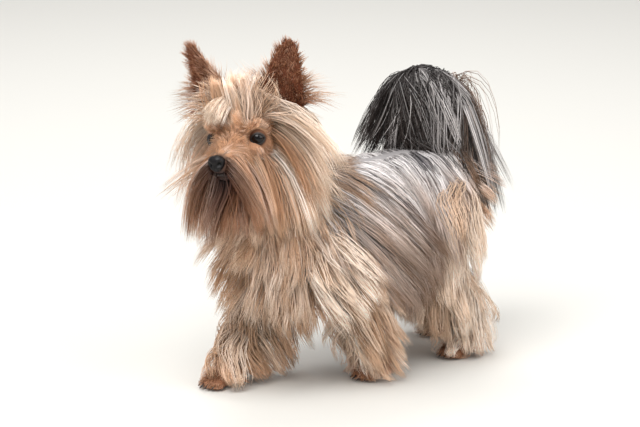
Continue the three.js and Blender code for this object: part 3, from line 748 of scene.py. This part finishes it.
def markings(points):
    """Shares of each coat colour at places on the skin."""
    x, y, z = in_body(points).T
    hx, hy, hz = in_head(points).T
    part = part_of(points)
    wobble = 6 * np.sin(x * 0.11 + y * 0.07) + 5 * np.sin(z * 0.13 - y * 0.05 + 1.3)
    on_trunk, on_head, on_neck, on_tail = (
        (part == name) * 1.0 for name in ("torso", "head", "neck", "tail")
    )
    hind = np.array([p.startswith("hindleg") for p in part]) * 1.0
    fore = np.array([p.startswith("foreleg") for p in part]) * 1.0
    rump = soft(y + wobble, 112, 142) * soft(z + wobble * 0.5, 196, 172)
    steel = on_trunk * soft(y + wobble, -42, -14) * soft(z + wobble, 112, 142) * (1 - rump)
    steel = np.maximum(steel, on_neck * soft(y, -36, -22) * soft(z, 190, 206) * 0.6)
    steel = np.maximum(steel, on_tail * 0.25)

    muzzle = on_head * soft(hy, 12, -4)
    rust = muzzle * soft(hz, -4, -16) * soft(np.abs(hx), 22, 13) * 0.7
    rust = np.maximum(rust, 0.22 * muzzle * soft(hy, 6, -14))
    eye_side = on_head * soft(np.hypot(np.abs(hx) - EYE[0], np.hypot(hy - EYE[1], hz - EYE[2])), 24, 12)
    rust = np.maximum(rust, 0.42 * eye_side * soft(hz, 10, -2))
    chin = soft(hz, -16, -24) * soft(hy, 24, 10) * (1 - 0.65 * soft(np.abs(hx), 7, 17))
    rust = np.maximum(rust, 0.95 * on_head * chin)
    rust = np.maximum(rust, (fore + hind) * soft(z, 34, 8) * 0.62)

    _, tail_side = tail_spot(points)
    near = soft(tail_side, 0, 4)
    rear = soft(y, 184, 198)
    nose_gap = np.linalg.norm(in_head(points) - NOSE, axis=1)
    mouth = on_head * soft(np.abs(hx), 12, 4) * soft(hy, -2, -16) * soft(hz, -17, -23)
    mouth = np.maximum(mouth, 0.8 * on_head * soft(nose_gap, 14, 9))
    dark = np.maximum(on_tail * soft(z, 186, 212) * (0.97 - 0.45 * rear), mouth * 0.93)
    # Tail: less silver on its far side is painted shade, a little more on its near side painted light.
    silver = on_tail * (0.20 * near * (1 - rear) - 0.42 * (1 - near)) - mouth
    silver = silver + on_trunk * 0.36 * soft(z, 168, 194)

    cream = on_head * np.maximum(0.8 * soft(hz, 4, 20), 0.9 * soft(np.abs(hx) + hy * 0.3, 17, 32))
    cream = np.maximum(cream, 0.75 * on_head * soft(np.abs(hx), 9, 19) * soft(hz, -6, -14))
    cream = cream * (1 - 0.9 * eye_side)
    cream = np.maximum(cream, on_neck * 0.7)
    cream = np.maximum(cream, on_trunk * soft(y, -20, -44) * 0.65)
    cream = np.maximum(cream, (fore * 0.8 + hind * 0.95) * soft(z, 10, 50))
    cream = np.maximum(cream, rump * on_trunk * 0.4 + on_tail * 0.1)

    ear = ear_region(np.stack([hx, hy, hz], 1))
    rust = np.where(ear, 0.95, rust)
    dark, silver = np.where(ear, 0.25, dark), np.where(ear, -1.0, silver)
    cream = np.where(ear, 0.0, cream)
    # Taupe is partly the trunk hair's own brownish tone and partly painted shade on the chest.
    taupe = on_trunk * (0.35 + 0.65 * soft(y, -30, 0)) * (1 - rump)
    return {"steel": steel, "rust": rust, "dark": dark, "cream": cream, "taupe": taupe, "silver": silver}


skin_marks = markings(skin_points)
print("mean marks", {mark: round(float(values.mean()), 2) for mark, values in skin_marks.items()})

# %% [markdown]
# Real hair changes along its length and from lock to lock: dark and warm at the root, pale
# at the tip, here a silver strand and there a steel one. One flat colour for each region
# would look like felt. So each colour is mixed by the tuft's own number, its lock's number
# and the place along it, and the marks say how much of each colour a region has. Part of
# the dark at the root is painted shade: every tuft is painted darker towards its root, for
# the shade of the coat that lies over it.

# %% Coat colours
TAN, CREAM, PALE, RUST = colour("e4b28b"), colour("f8dabc"), colour("fff4ea"), colour("86411f")
STEEL, SILVER, DARK, TAUPE = colour("544f53"), colour("f6f0ee"), colour("131114"), colour("a2754e")
# How much darker each tuft is painted at its root: painted shade under the coat.
ROOT_SHADE = 0.52


def coat_paint(wire):
    pick, lock, along = wire.mark("pick"), wire.mark("lock"), wire.mark("along")
    steel = (pick * 0.5 + lock * 1.25 - 0.52 + wire.mark("silver")).blend(STEEL, SILVER)
    dark = (pick * 0.5 + lock * 1.3 - 0.80 + wire.mark("silver")).blend(DARK, SILVER)
    cream = (pick * 0.6 + lock * 0.6 - 0.2).blend(CREAM, PALE)
    base = (wire.mark("cream") + lock * 0.8 - 0.42).blend(TAN, cream)
    base = (wire.mark("rust") * (1.12 - along * 0.62)).blend(base, RUST)
    # Taupe: the trunk's own tone, and painted shade on the chest.
    base = (wire.mark("taupe") * 0.85).blend(base, TAUPE)
    base = (wire.mark("steel") * (1.1 - along * along * 0.85)).blend(base, steel)
    base = (wire.mark("dark") * (1 - along * wire.mark("rust") * 0.6)).blend(base, dark)
    # Painted shade towards the root; the spread by tuft and lock is the hair's own tone.
    light = (1.06 - ROOT_SHADE + along * ROOT_SHADE) * (0.74 + pick * 0.28 + lock * 0.30)
    toned = wire.node("ShaderNodeHueSaturation", {}, {"Value": light, "Saturation": 1.03, "Color": base})
    return {"Base Color": toned}


coat_finish = finish("coat", coat_paint, Roughness=0.42)
skin_finish = finish("skin", coat_paint, Roughness=0.7)
print("the coat's finish has", len(coat_finish.node_tree.nodes), "nodes")

# %% [markdown]
# The skin shows only between tufts, so it takes the coat's own finish with the numbers of a
# tuft in the shade. It stands for all the solids of flesh at once, which are hidden then.


# %% The skin in the frame
def dress(piece, material, slot, *nodes):
    """Gives a piece its finish and its place in the frame."""
    piece.data.materials.clear()
    piece.data.materials.append(material)
    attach(piece, "root")
    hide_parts(*nodes)


for mark, values in skin_marks.items():
    write_mark(skin.data, mark, values * 1.0)
# Painted shade: these low numbers paint the skin as dark as the shade between tufts.
for mark, value in (("pick", 0.3), ("lock", 0.4), ("along", 0.2)):
    write_mark(skin.data, mark, np.full(len(skin_points), value))
LIMBS = [name.replace("leg", part) for name in LEGS for part in ("leg", "paw")]
FLESH = ["head", "ear_left", "ear_right", "neck", "torso", "tail"] + LIMBS
dress(skin, skin_finish, "tan_coat", *FLESH)
print("the skin stands for", len(FLESH), "solids")

# %% [markdown]
# Now the grooming, region by region. Each region's rule says which way its hair leaves the
# skin, how long it is, how strongly it hangs, how far the coat stands off the body and how
# wavy it is. Longer hair gets more rings, so that it bends smoothly. What a rule leaves out
# comes from the usual values here, and a few stray hairs leave the coat everywhere.

# %% A region of coat
DOWN, BACK = np.array([0, 0, -1.0]), np.array([0, 1.0, 0])
USUAL = {"fall": 0.25, "pull": DOWN, "depth": 0.006, "wave": 0.001, "curl": 0.06}
USUAL |= {"width": 0.0012, "hold": 0.7, "stray": 0.04, "scatter": 0.1}


def groom(
    name, mask, count, rule, nodes, slot, rings=6, density=None, guides=0.06, tone=None, sink=0.0012
):
    """One piece of coat: roots, paths, locks, marks and mesh."""
    place, normal, patch = plant(mask, count, density)
    rules = USUAL | rule(place, normal)
    pull, heading = np.broadcast_to(rules.pop("pull"), (count, 3)), unit(rules.pop("way"))
    fill = {key: np.broadcast_to(np.asarray(value, float), (count,)) for key, value in rules.items()}
    length = fill["length"] * (0.78 + 0.4 * dice.random(count))
    stray = dice.random(count) < fill["stray"]
    length = np.where(stray, length * 1.18, length)
    depth = fill["depth"] * (0.15 + 0.85 * dice.random(count)) * np.where(stray, 1.6, 1.0)
    off = dice.normal(0, 1, (count, 3)) * fill["scatter"][:, None]
    way = unit(heading + off + normal * np.where(stray, 0.5, 0.1)[:, None])
    fall = fill["fall"] * (0.75 + 0.5 * dice.random(count))
    paths = trace(place - normal * sink, way, length, fall, pull, depth, rings)
    paths, lock = gather(paths, guides, fill["hold"].mean(), fill["wave"], fill["curl"], length)
    marks = markings(place) | {"lock": lock}
    if tone is not None:
        marks |= tone(place, marks)
    width = fill["width"] * (0.75 + 0.5 * dice.random(count))
    piece = tuft_mesh(name, paths, normal, patch, width, marks)
    dress(piece, coat_finish, slot, *nodes)


def flat(way, normal, lift=0.15):
    """The part of a way that lies along the skin, lifted a little off it."""
    way = np.broadcast_to(way, normal.shape)
    return unit(way - (way * normal).sum(1, keepdims=True) * normal) + normal * lift


# %% [markdown]
# On the body the coat parts along the spine and hangs down both sides like a curtain, swept
# a little to the rear. Below the belly it ends in a loose fringe. Left and right are two
# pieces, because a piece of coat may have only so many triangles.


# %% Body coat
def body_rule(place, normal):
    x, y, z = in_body(place).T
    side = as_vectors(np.sign(x) * soft(np.abs(normal[:, 2]), 0.3, 0.95), 0, 0)
    sweep = 0.85 * soft(y, 95, 30) * soft(y, -50, -10)
    drop = np.clip(z - 52, 38, 100) * (1 - 0.5 * soft(y, 110, 170)) * MM
    front = soft(y, -20, -50)
    trail = 0.6 * soft(y, 110, 40) * soft(y, -45, -5)
    return {
        "way": flat(DOWN + side * 1.5 + BACK * sweep[:, None], normal, 0.12),
        "pull": unit(DOWN + BACK * trail[:, None]),
        "length": drop * (1 - front) + 0.062 * front,
        "fall": 0.15 + 0.08 * front + 0.30 * soft(np.abs(normal[:, 2]), 0.35, 0.9),
        "depth": 0.007 + 0.004 * front - 0.003 * soft(y, 110, 150),
        "wave": 0.0014 + 0.0018 * np.maximum(soft(z, 130, 100), front),
        "curl": 0.045,
        "width": 0.00125,
        "hold": 0.75,
    }


is_trunk = part_name == "torso"
left = centre[:, 0] - SHIFT[0] > 0
groom("coat_body_left", is_trunk & left, 5800, body_rule, ["torso"], "silver_coat", rings=5)
groom("coat_body_right", is_trunk & ~left, 5800, body_rule, ["torso"], "silver_coat", rings=5)

# %% [markdown]
# Neck and chest carry a thick shirt front. Its hair stands off the skin before it falls, and
# it is wavier than the body's, so it gets more depth and a larger wave.


# %% Neck and chest
def neck_rule(place, normal):
    return {
        "way": flat(DOWN + BACK * soft(normal[:, 1], -0.2, 0.6)[:, None] * 0.8, normal, 0.35),
        "length": 0.078,
        "fall": 0.24,
        "depth": 0.012,
        "wave": 0.0042,
        "curl": 0.042,
        "width": 0.0012,
        "hold": 0.82,
    }


groom("coat_neck", part_name == "neck", 4800, neck_rule, ["neck"], "cream_coat")

# %% [markdown]
# Leg hair hangs in wavy locks down to the feet, and trails a little behind the leg. Few
# guides and a firm hold make the locks wide and smooth. More hair grows low on the leg,
# where it has to cover the thin bones.


# %% Legs
def leg_rule(place, normal):
    _, y, z = in_body(place).T
    high, rear = soft(z, 60, 120), soft(y, 80, 110)
    flare = (0.62 - 0.35 * high) * (1 - 0.6 * rear)
    return {
        "way": unit(DOWN + normal * flare[:, None] + BACK * (0.4 - 0.5 * rear)[:, None]),
        "length": np.clip(z * 1.15, 14, 68) * MM,
        "fall": 0.15,
        "pull": unit(DOWN + BACK * (0.45 - 0.45 * rear)[:, None]),
        "depth": 0.009 - 0.004 * rear,
        "wave": 0.0058,
        "curl": 0.036,
        "width": 0.0012,
        "hold": 0.93,
    }


low_more = 1 + 1.2 * soft(in_body(centre)[:, 2], 90, 40)
for pair, count in (("foreleg", 4100), ("hindleg", 3700)):
    mask = is_leg & np.array([name.startswith(pair) for name in part_name])
    nodes = [pair + "_left", pair + "_right"]
    groom("coat_" + pair + "s", mask, count, leg_rule, nodes, "cream_coat", 8, low_more, guides=0.04)

# %% [markdown]
# The hair of the feet is short and lies forwards over the toes. None grows on the soles,
# because the feet stand flat on the floor.


# %% Feet
def paw_rule(place, normal):
    return {
        "way": flat(np.array([0, -1.0, -0.4]), normal, 0.35),
        "length": 0.008,
        "fall": 0.1,
        "depth": 0.002,
        "wave": 0.0004,
        "curl": 0.02,
        "width": 0.0008,
        "hold": 0.3,
    }


is_sole = outwards[:, 2] <= -0.35
paws = [name.replace("leg", "paw") for name in LEGS]
groom("coat_feet", is_paw & ~is_sole, 3200, paw_rule, paws, "rust_coat", rings=3, guides=0.15)

# %% [markdown]
# The tail stands up and curls forward. Its long hair parts over the top and falls on both
# sides in a dark plume: towards the back on the tail's left, towards the front on its right.
# Its fall is strong, so that it turns down close to the tail and doesn't stand out wide.


# %% Tail
def tail_rule(place, normal):
    z = in_body(place)[:, 2]
    spot, side = tail_spot(place)
    knots = np.array(TAIL, float)
    ahead = knots[np.minimum(spot + 1, len(knots) - 1)] - knots[np.maximum(spot - 1, 0)]
    near, tip, high = soft(side, 0, 4), soft(spot, 2, 5), soft(z, 190, 225)
    back = tip * (0.60 * near - 0.50 * (1 - near))
    along = unit(ahead) * (0.4 - 0.4 * near)[:, None]
    split = as_vectors(0.45 * np.tanh(side / 3), 0, 0)
    drop = np.clip(z - 136, 40, 160) * (1 - 0.42 * tip * (1 - near) + 0.16 * tip * near)
    return {
        "way": along + BACK * (0.3 * near * tip)[:, None] + split + normal * 0.16,
        "length": drop * MM,
        "fall": 0.20 + 0.42 * high,
        "pull": as_vectors(0.10 * near - 0.12 * (1 - near), back, -1),
        "depth": 0.008 + 0.010 * near,
        "wave": 0.0022,
        "curl": 0.09,
        "width": 0.0011,
        "hold": 0.88,
        "stray": 0.006,
        "scatter": 0.03,
    }


groom("coat_tail", part_name == "tail", 4700, tail_rule, ["tail"], "dark_coat", rings=7)

# %% [markdown]
# The head decides whether the dog looks alive. Its long hair hangs as moustache and beard
# from the muzzle, stands out in a wide ruff from temples and cheeks, and is drawn up from
# the forehead to a bun. It could be combed with guide curves, one by one. Here each area has
# a way and a length, and smooth weights mix them, so that no seam shows between two areas.

# %% Which way the head's hair goes
KNOT = np.array([-5.0, 14.0, 52.0])


def side_of(x):
    """1 to the dog's left, -1 to its right."""
    return np.sign(x) + (x == 0)


def head_way(points):
    """Way and length of head hair, in the head's own frame, and how much of it is tied up."""
    x, y, z = points.T
    s = side_of(x)
    to_knot = KNOT - points
    knot = unit(to_knot), np.linalg.norm(to_knot, axis=1) * MM + 0.003
    cheek = as_vectors(s * 1.0, 0.15, -0.30), 0.092
    temple = as_vectors(s * 1.0, 0.0, 0.40), 0.090
    back = as_vectors(s * 0.75, 0.75, -0.3), 0.076
    chin = as_vectors(s * 0.15, -0.3, -1.0), 0.058
    lip = as_vectors(s * 1.0, -0.30, -0.30), 0.074
    tied = soft(np.abs(x), 24, 14) * soft(z, 2, 8) * soft(y, 36, 26)
    weights = [
        (cheek, soft(np.abs(x), 10, 24) * soft(z, 14, 2) * soft(y, -2, 14)),
        (temple, soft(np.abs(x), 14, 22) * soft(z, 4, 12) * soft(y, 50, 36)),
        (knot, 3.0 * tied),
        (back, soft(y, 30, 50)),
        (chin, soft(z, -22, -28) * 1.5),
        (lip, soft(y, 10, -2) * soft(np.abs(x), 4, 9) * soft(z, -26, -18)),
    ]
    total = sum(w for _, w in weights) + 1e-6
    toward = sum(d * w[:, None] for (d, _), w in weights) / total[:, None]
    length = sum(size * w for (_, size), w in weights) / total
    return unit(toward), length, tied


# %% Long hair of the head
def head_rule(place, normal):
    toward, length, tied = head_way(in_head(place))
    return {
        "way": toward @ HEAD_AXES.T + normal * (0.25 - 0.1 * tied)[:, None],
        "length": length,
        "fall": 0.33 - 0.32 * tied,
        "depth": 0.009,
        "wave": 0.0030 - 0.002 * tied,
        "curl": 0.055,
        "width": 0.0010,
        "hold": 0.8,
    }


long_haired = is_head & ~is_bare & ~is_face
groom("coat_head", long_haired, 5500, head_rule, ["head"], "tan_coat", guides=0.05)

# %% [markdown]
# The face itself has short fur. It grows away from each eye all round, backwards along the
# bridge of the nose and upwards between the eyes, and lies close, so that the eyes stay free.


# %% Short hair of the face
def face_rule(place, normal):
    points = in_head(place)
    x, y, z = points.T
    s = side_of(x)
    from_eye = points - EYE * as_vectors(s, 1, 1)
    gap = np.linalg.norm(from_eye, axis=1)
    toward, _, _ = head_way(points)
    ring = soft(gap, 20, 12)
    bridge = soft(np.abs(x), 12, 6) * soft(y, 8, -2)
    stop = soft(np.abs(x), 14, 6) * soft(y, -6, 4) * soft(z, -12, -4)
    way = toward + unit(from_eye) * (1.6 * ring)[:, None]
    way = way + as_vectors(s * 0.5, 0.8, 0.25) * (2.0 * bridge)[:, None]
    way = unit(way + as_vectors(s * 0.35, 0.3, 1) * (2.5 * stop)[:, None])
    return {
        "way": flat(way @ HEAD_AXES.T, normal, 0.25),
        "length": 0.009 + 0.018 * soft(gap, 13, 26) * (1 - bridge) + 0.012 * stop * (1 - bridge),
        "fall": 0.12,
        "depth": 0.0028,
        "wave": 0.0006,
        "curl": 0.03,
        "width": 0.0007,
        "hold": 0.4,
    }


furred, sparse = is_head & ~is_bare, is_face + 0.05
groom("coat_face", furred, 7000, face_rule, ["head"], "tan_coat", 3, sparse, sink=0.0005)

# %% [markdown]
# The forehead's hair ends in a small bun in front of the ears. A ball could stand for it,
# but it is loose, so it is a bundle of hair that rises and falls over to the front. Thin
# wisps escape from it and stand up, and a few long whiskers blow out to the side of the
# muzzle, towards the left of the picture.


# %% Bun, wisps and whiskers
def bun_rule(place, normal):
    spread = dice.normal(0, 0.10, (len(place), 3))
    return {
        "way": unit(unit(KNOT + [4, 4, 2] - in_head(place)) + spread) @ HEAD_AXES.T,
        "pull": unit(np.array([-0.35, -0.55, -0.85]) + spread) @ HEAD_AXES.T,
        "length": 0.045,
        "fall": 0.42,
        "depth": 0.0,
        "wave": 0.0008,
        "curl": 0.05,
        "width": 0.0012,
        "hold": 0.6,
    }


def wisp_rule(place, normal):
    spread = dice.normal(0, 0.22, (len(place), 3))
    return {
        "way": unit(np.array([0.30, 0.20, 1.0]) + spread) @ HEAD_AXES.T,
        "pull": unit(np.array([0.5, 0.3, -0.4]) + spread) @ HEAD_AXES.T,
        "length": 0.040,
        "fall": 0.10,
        "depth": 0.0,
        "wave": 0.0012,
        "curl": 0.05,
        "width": 0.0007,
        "hold": 0.55,
    }


def whisker_rule(place, normal):
    spread = dice.normal(0, 0.14, (len(place), 3))
    return {
        "way": unit(np.array([-1.0, -0.2, -0.18]) + spread) @ HEAD_AXES.T,
        "length": 0.066,
        "fall": 0.09,
        "depth": 0.002,
        "wave": 0.002,
        "curl": 0.06,
        "width": 0.0008,
        "hold": 0.6,
    }


def pale_tone(place, marks):
    plain = 0 * marks["lock"]
    return {"cream": plain + 1.2, "rust": plain}


def whisker_tone(place, marks):
    plain = 0 * marks["lock"]
    return {"cream": plain + 0.6, "rust": marks["lock"] * 0.4, "dark": plain}


def head_patch(x, y, z, radius):
    """The head's faces round one place."""
    return is_head & (np.linalg.norm(local - [x, y, z], axis=1) < radius)


crown, lip_side = (-7, 17, 31), (-14, -12, -16)
groom("coat_bun", head_patch(*crown, 8), 420, bun_rule, ["head"], "cream_coat", 7, tone=pale_tone)
groom("coat_wisps", head_patch(*crown, 14), 130, wisp_rule, ["head"], "cream_coat", tone=pale_tone)
lips = head_patch(*lip_side, 9)
groom("coat_whiskers", lips, 46, whisker_rule, ["head"], "tan_coat", tone=whisker_tone)

# %% [markdown]
# The ears are covered in short rust velvet that points to their tips. Along the edges, and
# most of all low down, the hair is longer and pale, and hides where the ear is rooted.


# %% The ears' coat
def ear_edge(rise, off, inner):
    """0 on the middle of an ear and 1 along its edge."""
    return soft(off / ear_half(np.clip(rise, 0, 1)), inner, 1.0)


def ear_rule(place, normal):
    points = in_head(place)
    side = np.sign(points[:, 0])
    rise, off = ear_place(points)
    edge = ear_edge(rise, off, 0.7)
    up = as_vectors(side * 0.33, -0.05, 0.94)
    axis = EAR_BASE * as_vectors(side, 1, 1) + up * (rise * 64)[:, None]
    way = unit(up + unit(points - axis) * (1.2 * edge)[:, None])
    low = soft(rise, 0.6, 0.1)
    return {
        "way": flat(way @ HEAD_AXES.T, normal, 0.35),
        "length": 0.007 + edge * (0.007 + 0.034 * low),
        "fall": 0.05 + 0.25 * low,
        "depth": 0.0,
        "wave": 0.0006,
        "curl": 0.03,
        "width": 0.0007,
        "hold": 0.3,
    }


def ear_tone(place, marks):
    rise, off = ear_place(in_head(place))
    pale = ear_edge(rise, off, 0.8) * soft(rise, 0.95, 0.4)
    return {"rust": 0.95 - pale * 0.85, "dark": 0.25 - pale * 0.25, "cream": pale * 0.9}


ears = ["ear_left", "ear_right"]
groom(
    "coat_ears", is_ear, 5600, ear_rule, ears, "rust_coat", 3, guides=0.2, tone=ear_tone, sink=0.0003
)

# %% [markdown]
# The small hard parts of the head are grids that wrap round an axis. A sphere could be
# pushed about for each, but a rule for the place of each point keeps left and right alike.


# %% Grids for the small parts
def ring_faces(rows, columns, capped=False):
    """Faces of a grid that wraps round, with a face over each end if it is capped."""
    faces = []
    for r in range(rows - 1):
        for c in range(columns):
            a, b = r * columns + c, r * columns + (c + 1) % columns
            faces.append((a, b, b + columns, a + columns))
    if capped:
        faces.append(tuple(range(columns - 1, -1, -1)))
        faces.append(tuple(range((rows - 1) * columns, rows * columns)))
    return faces


def ring_points(rows, columns, place):
    """`place` gives the point for a share from first to last row and a turn about the axis."""
    turns = [2 * math.pi * c / columns for c in range(columns)]
    return [place(r / (rows - 1), turn) for r in range(rows) for turn in turns]


def head_object(name, points, faces, mark=None, values=None):
    """A mesh given in millimetres in the head's own frame, with a mark for its finish."""
    mesh = bpy.data.meshes.new(name)
    mesh.from_pydata([head_point(*p) for p in points], [], faces)
    mesh.shade_smooth()
    if mark is not None:
        write_mark(mesh, mark, values)
    print(name, len(faces), "faces")
    return add_object(name, mesh)


# %% [markdown]
# Eyes are wet black beads with a hint of brown, and the cornea bulges a little at the front.
# A lid closes over each: a shell a little larger than the eye, with an almond opening, dark
# at its rim. A painted opening would be flat, and the shadow under the lid makes the look.

# %% Eyes
BEAD_ROWS, BEAD_COLUMNS, BEAD_START, BEAD_SPREAD = 18, 28, 0.02, 1.75
LID_ROWS, LID_COLUMNS, LID_SPREAD = 12, 40, 1.6


def bead_paint(wire):
    return {"Base Color": wire.mark("middle").blend(colour("060404"), colour("1d0f08"))}


def lid_paint(wire):
    return {"Base Color": wire.mark("rim").blend(colour("6e4832"), colour("0a0706"))}


def eye_point(side, polar, turn, distance):
    """A point so far from the middle of an eye; polar is the angle from where it looks."""
    gaze = unit(np.array([side * 0.38, -0.92, -0.02]))
    right = unit(np.cross(gaze, [0, 0, 1.0]))
    up = np.cross(right, gaze)
    ray = gaze * math.cos(polar) + (right * math.cos(turn) + up * math.sin(turn)) * math.sin(polar)
    return EYE * (side, 1, 1) + ray * distance


def bead(side, r, turn):
    polar = BEAD_START + r * BEAD_SPREAD
    return eye_point(side, polar, turn, EYE_RADIUS * (1 + 0.05 * math.exp(-((polar / 0.5) ** 2))))


def lid(side, r, turn):
    wide, tall = 0.84 * math.cos(turn), 0.56 * math.sin(turn) * abs(math.sin(turn)) ** 0.5
    wide += r * (LID_SPREAD * math.cos(turn) - wide)
    tall += r * (LID_SPREAD * math.sin(turn) - tall)
    lift = 0.45 + 0.75 * math.sin(min(r * 5, 1.57)) - 1.1 * r
    return eye_point(side, math.hypot(wide, tall), math.atan2(tall, wide), EYE_RADIUS + lift)


bead_finish = finish("wet_bead", bead_paint, Roughness=0.05, Specular_IOR_Level=0.3)
lid_finish = finish("lid", lid_paint, Roughness=0.55)
bead_polar = [BEAD_START + r / (BEAD_ROWS - 1) * BEAD_SPREAD for r in range(BEAD_ROWS)]
iris = np.repeat([math.exp(-(((p - 0.62) / 0.13) ** 2)) for p in bead_polar], BEAD_COLUMNS)
rim = np.clip([1.5 - r / (LID_ROWS - 1) * 3.6 for r in range(LID_ROWS)], 0, 1)
rim = np.repeat(rim, LID_COLUMNS)
for side, name in ((1, "eye_left"), (-1, "eye_right")):
    points = ring_points(BEAD_ROWS, BEAD_COLUMNS, lambda r, turn: bead(side, r, turn))
    faces = ring_faces(BEAD_ROWS, BEAD_COLUMNS, capped=True)
    dress(head_object("bead_" + name, points, faces, "middle", iris), bead_finish, "eye", name)
    points = ring_points(LID_ROWS, LID_COLUMNS, lambda r, turn: lid(side, r, turn))
    shell = head_object("lid_" + name, points, ring_faces(LID_ROWS, LID_COLUMNS), "rim", rim)
    thick = shell.modifiers.new("thick", "SOLIDIFY")
    thick.thickness, thick.offset = 0.0008, -1
    dress(shell, lid_finish, "rust_coat", "head")

# %% [markdown]
# The nose is leather: broad above, split by a groove, with a comma-shaped nostril on each
# side. The hollows are real shape, so that they catch shade from wherever the light comes.
# Its fine pebbles are too small for that, and a Voronoi texture gives them as bump. The
# nostrils are also painted near black, as painted shade deep in the hollows.

# %% Nose leather
NOSE_HALF = (8.2, 6.2, 7.8)
NOSE_ROWS, NOSE_COLUMNS = 30, 48


def nostril(x, z):
    """1 in the middle of either nostril, 0 away from it."""
    return math.exp(-(((abs(x) - 4.2) / 2.2) ** 2) - (((z + 0.2 - 0.35 * (abs(x) - 4.2)) / 2.0) ** 2))


def nose_point(r, turn):
    polar = r * math.pi
    ray = np.array([math.sin(polar) * math.cos(turn), -math.cos(polar), math.sin(polar) * math.sin(turn)])
    x, y, z = np.sign(ray) * np.abs(ray) ** (0.86, 0.8, 0.86) * NOSE_HALF
    x *= 1 + 0.08 * max(z, 0) / NOSE_HALF[2] + 0.34 * min(z, 0) / NOSE_HALF[2]
    front = (y < 0) * 1.0
    groove = math.exp(-((x / 0.8) ** 2)) * front * (1.1 if z < 1 else 0.2)
    dent = 3.4 * nostril(x, z) * front
    wing = 1.4 * math.exp(-(((abs(x) - 6.4) / 1.6) ** 2) - (((z + 1.4) / 1.0) ** 2)) * front
    return NOSE + [x, y + groove + dent + wing, z]


def leather_paint(wire):
    place = wire.node("ShaderNodeTexCoord", output=3)
    pebbles = wire.node("ShaderNodeTexVoronoi", {}, {"Vector": place, "Scale": 900.0})
    bump = wire.node("ShaderNodeBump", {}, {"Strength": 0.35, "Distance": 0.0004, "Height": pebbles})
    tone = pebbles.blend(colour("0a0809"), colour("191617"))
    # The nostrils are painted near black: painted shade in their hollows.
    return {"Normal": bump, "Base Color": wire.mark("nostril_shade").blend(tone, colour("020202"))}


leather_finish = finish("nose_leather", leather_paint, Roughness=0.36, Specular_IOR_Level=0.22)
points = ring_points(NOSE_ROWS, NOSE_COLUMNS, nose_point)
# Painted shade: how dark each point of a nostril is painted.
nostril_shade = [min(1.0, 1.5 * nostril(p[0], p[2] - NOSE[2])) * (p[1] < NOSE[1]) for p in points]
leather = head_object("nose_leather", points, ring_faces(NOSE_ROWS, NOSE_COLUMNS), "nostril_shade", nostril_shade)
dress(leather, leather_finish, "nose", "nose")

# %% [markdown]
# The lips meet in a dark line that runs back from under the nose on both sides. A thin tube
# that swells in the middle is enough, because the moustache hides most of it.


# %% Mouth
def tube_points(path, radii, sides=8):
    """Rings of points about a path in the head's frame."""
    path, points = np.array(path, float), []
    for i, middle in enumerate(path):
        way = unit(path[min(i + 1, len(path) - 1)] - path[max(i - 1, 0)])
        first = unit(np.cross(way, [0, 0, 1.0]))
        second = np.cross(first, way)
        for s in range(sides):
            turn = 2 * math.pi * s / sides
            points.append(middle + (first * math.cos(turn) + second * math.sin(turn)) * radii[i])
    return points


lip_finish = finish("lip", mottled("1a100d", "2e1c15", 60.0), Roughness=0.45)
shares = np.linspace(0, 1, 12)
for side, name in ((1, "left"), (-1, "right")):
    bend = [
        (side * 13.5 * math.sin(t * 1.5), -34.5 + 30 * t**1.4, -26.0 - 1.6 * math.sin(t * 3.0))
        for t in shares
    ]
    points = tube_points(bend, [1.5 + 0.5 * math.sin(3.1 * t) for t in shares])
    lip = head_object("lip_" + name, points, ring_faces(len(shares), 8, capped=True))
    dress(lip, lip_finish, "nose", "head")

# %% [markdown]
# A short dark claw ends each toe. They hardly show in the hair of the feet, but a foot
# without them looks like a slipper. A cone that ends blunt is all the shape they need.

# %% Claws
claws = bmesh.new()
CLAW = {"cap_ends": True, "segments": 10, "radius1": 0.0016, "radius2": 0.0003, "depth": 0.008}
tilt = Matrix.Rotation(math.radians(115), 4, "X")
for x, y in PAWS.values():
    for k in TOES:
        made = bmesh.ops.create_cone(claws, **CLAW)
        spot = Matrix.Translation(body_point(x + k * TOE_PITCH, y - 22.8 + TOE_ARC * k * k, 4.2))
        bmesh.ops.transform(claws, matrix=spot @ tilt, verts=made["verts"])
claw_mesh = bpy.data.meshes.new("claws")
claws.to_mesh(claw_mesh)
claws.free()
claw_mesh.shade_smooth()
horn_finish = finish("horn", mottled("181211", "3a2c26", 300.0), Roughness=0.3)
dress(add_object("claws", claw_mesh), horn_finish, "nose", *paws)
print(len(PAWS) * len(TOES), "claws")

# %% [markdown]
# A plain pale floor and three large soft lamps under a pale sky stand in for an overcast
# day. Small lamps would draw a hard shadow of every tuft. The key lamp is high and in front,
# the fill comes from the side that the camera sees, and the rim lamp lights the far edge.

# %% Floor and light
FLOOR_HALF, LAMP_AIM = 6.0, np.array([0, 0, 0.15])
floor_mesh = bpy.data.meshes.new("floor")
floor_corners = [(x * FLOOR_HALF, y * FLOOR_HALF, 0) for x, y in ((-1, -1), (1, -1), (1, 1), (-1, 1))]
floor_mesh.from_pydata(floor_corners, [], [(0, 1, 2, 3)])
floor_mesh.materials.append(finish("pale_floor", mottled("dcdad4", "d4d2cc", 3.0), Roughness=0.8))
floor = add_object("floor", floor_mesh)


def lamp(name, azimuth, elevation, distance, size, power):
    light = bpy.data.lights.new(name, "AREA")
    light.size, light.energy = size, power
    aim_at(add_object(name, light), LAMP_AIM, direction(azimuth, elevation), distance)


lamp("key", 20, 55, 2.2, 1.4, 48)
lamp("fill", 105, 35, 2.4, 2.0, 32)
lamp("rim", 235, 50, 2.2, 1.2, 22)
world = bpy.data.worlds.new("day")
world.use_nodes = True
sky = world.node_tree.nodes["Background"].inputs
sky["Color"].default_value, sky["Strength"].default_value = (0.92, 0.92, 0.93, 1), 0.55
bpy.context.scene.world = world
bpy.context.scene.view_settings.view_transform = "Standard"
print(len(bpy.data.lights), "lamps")
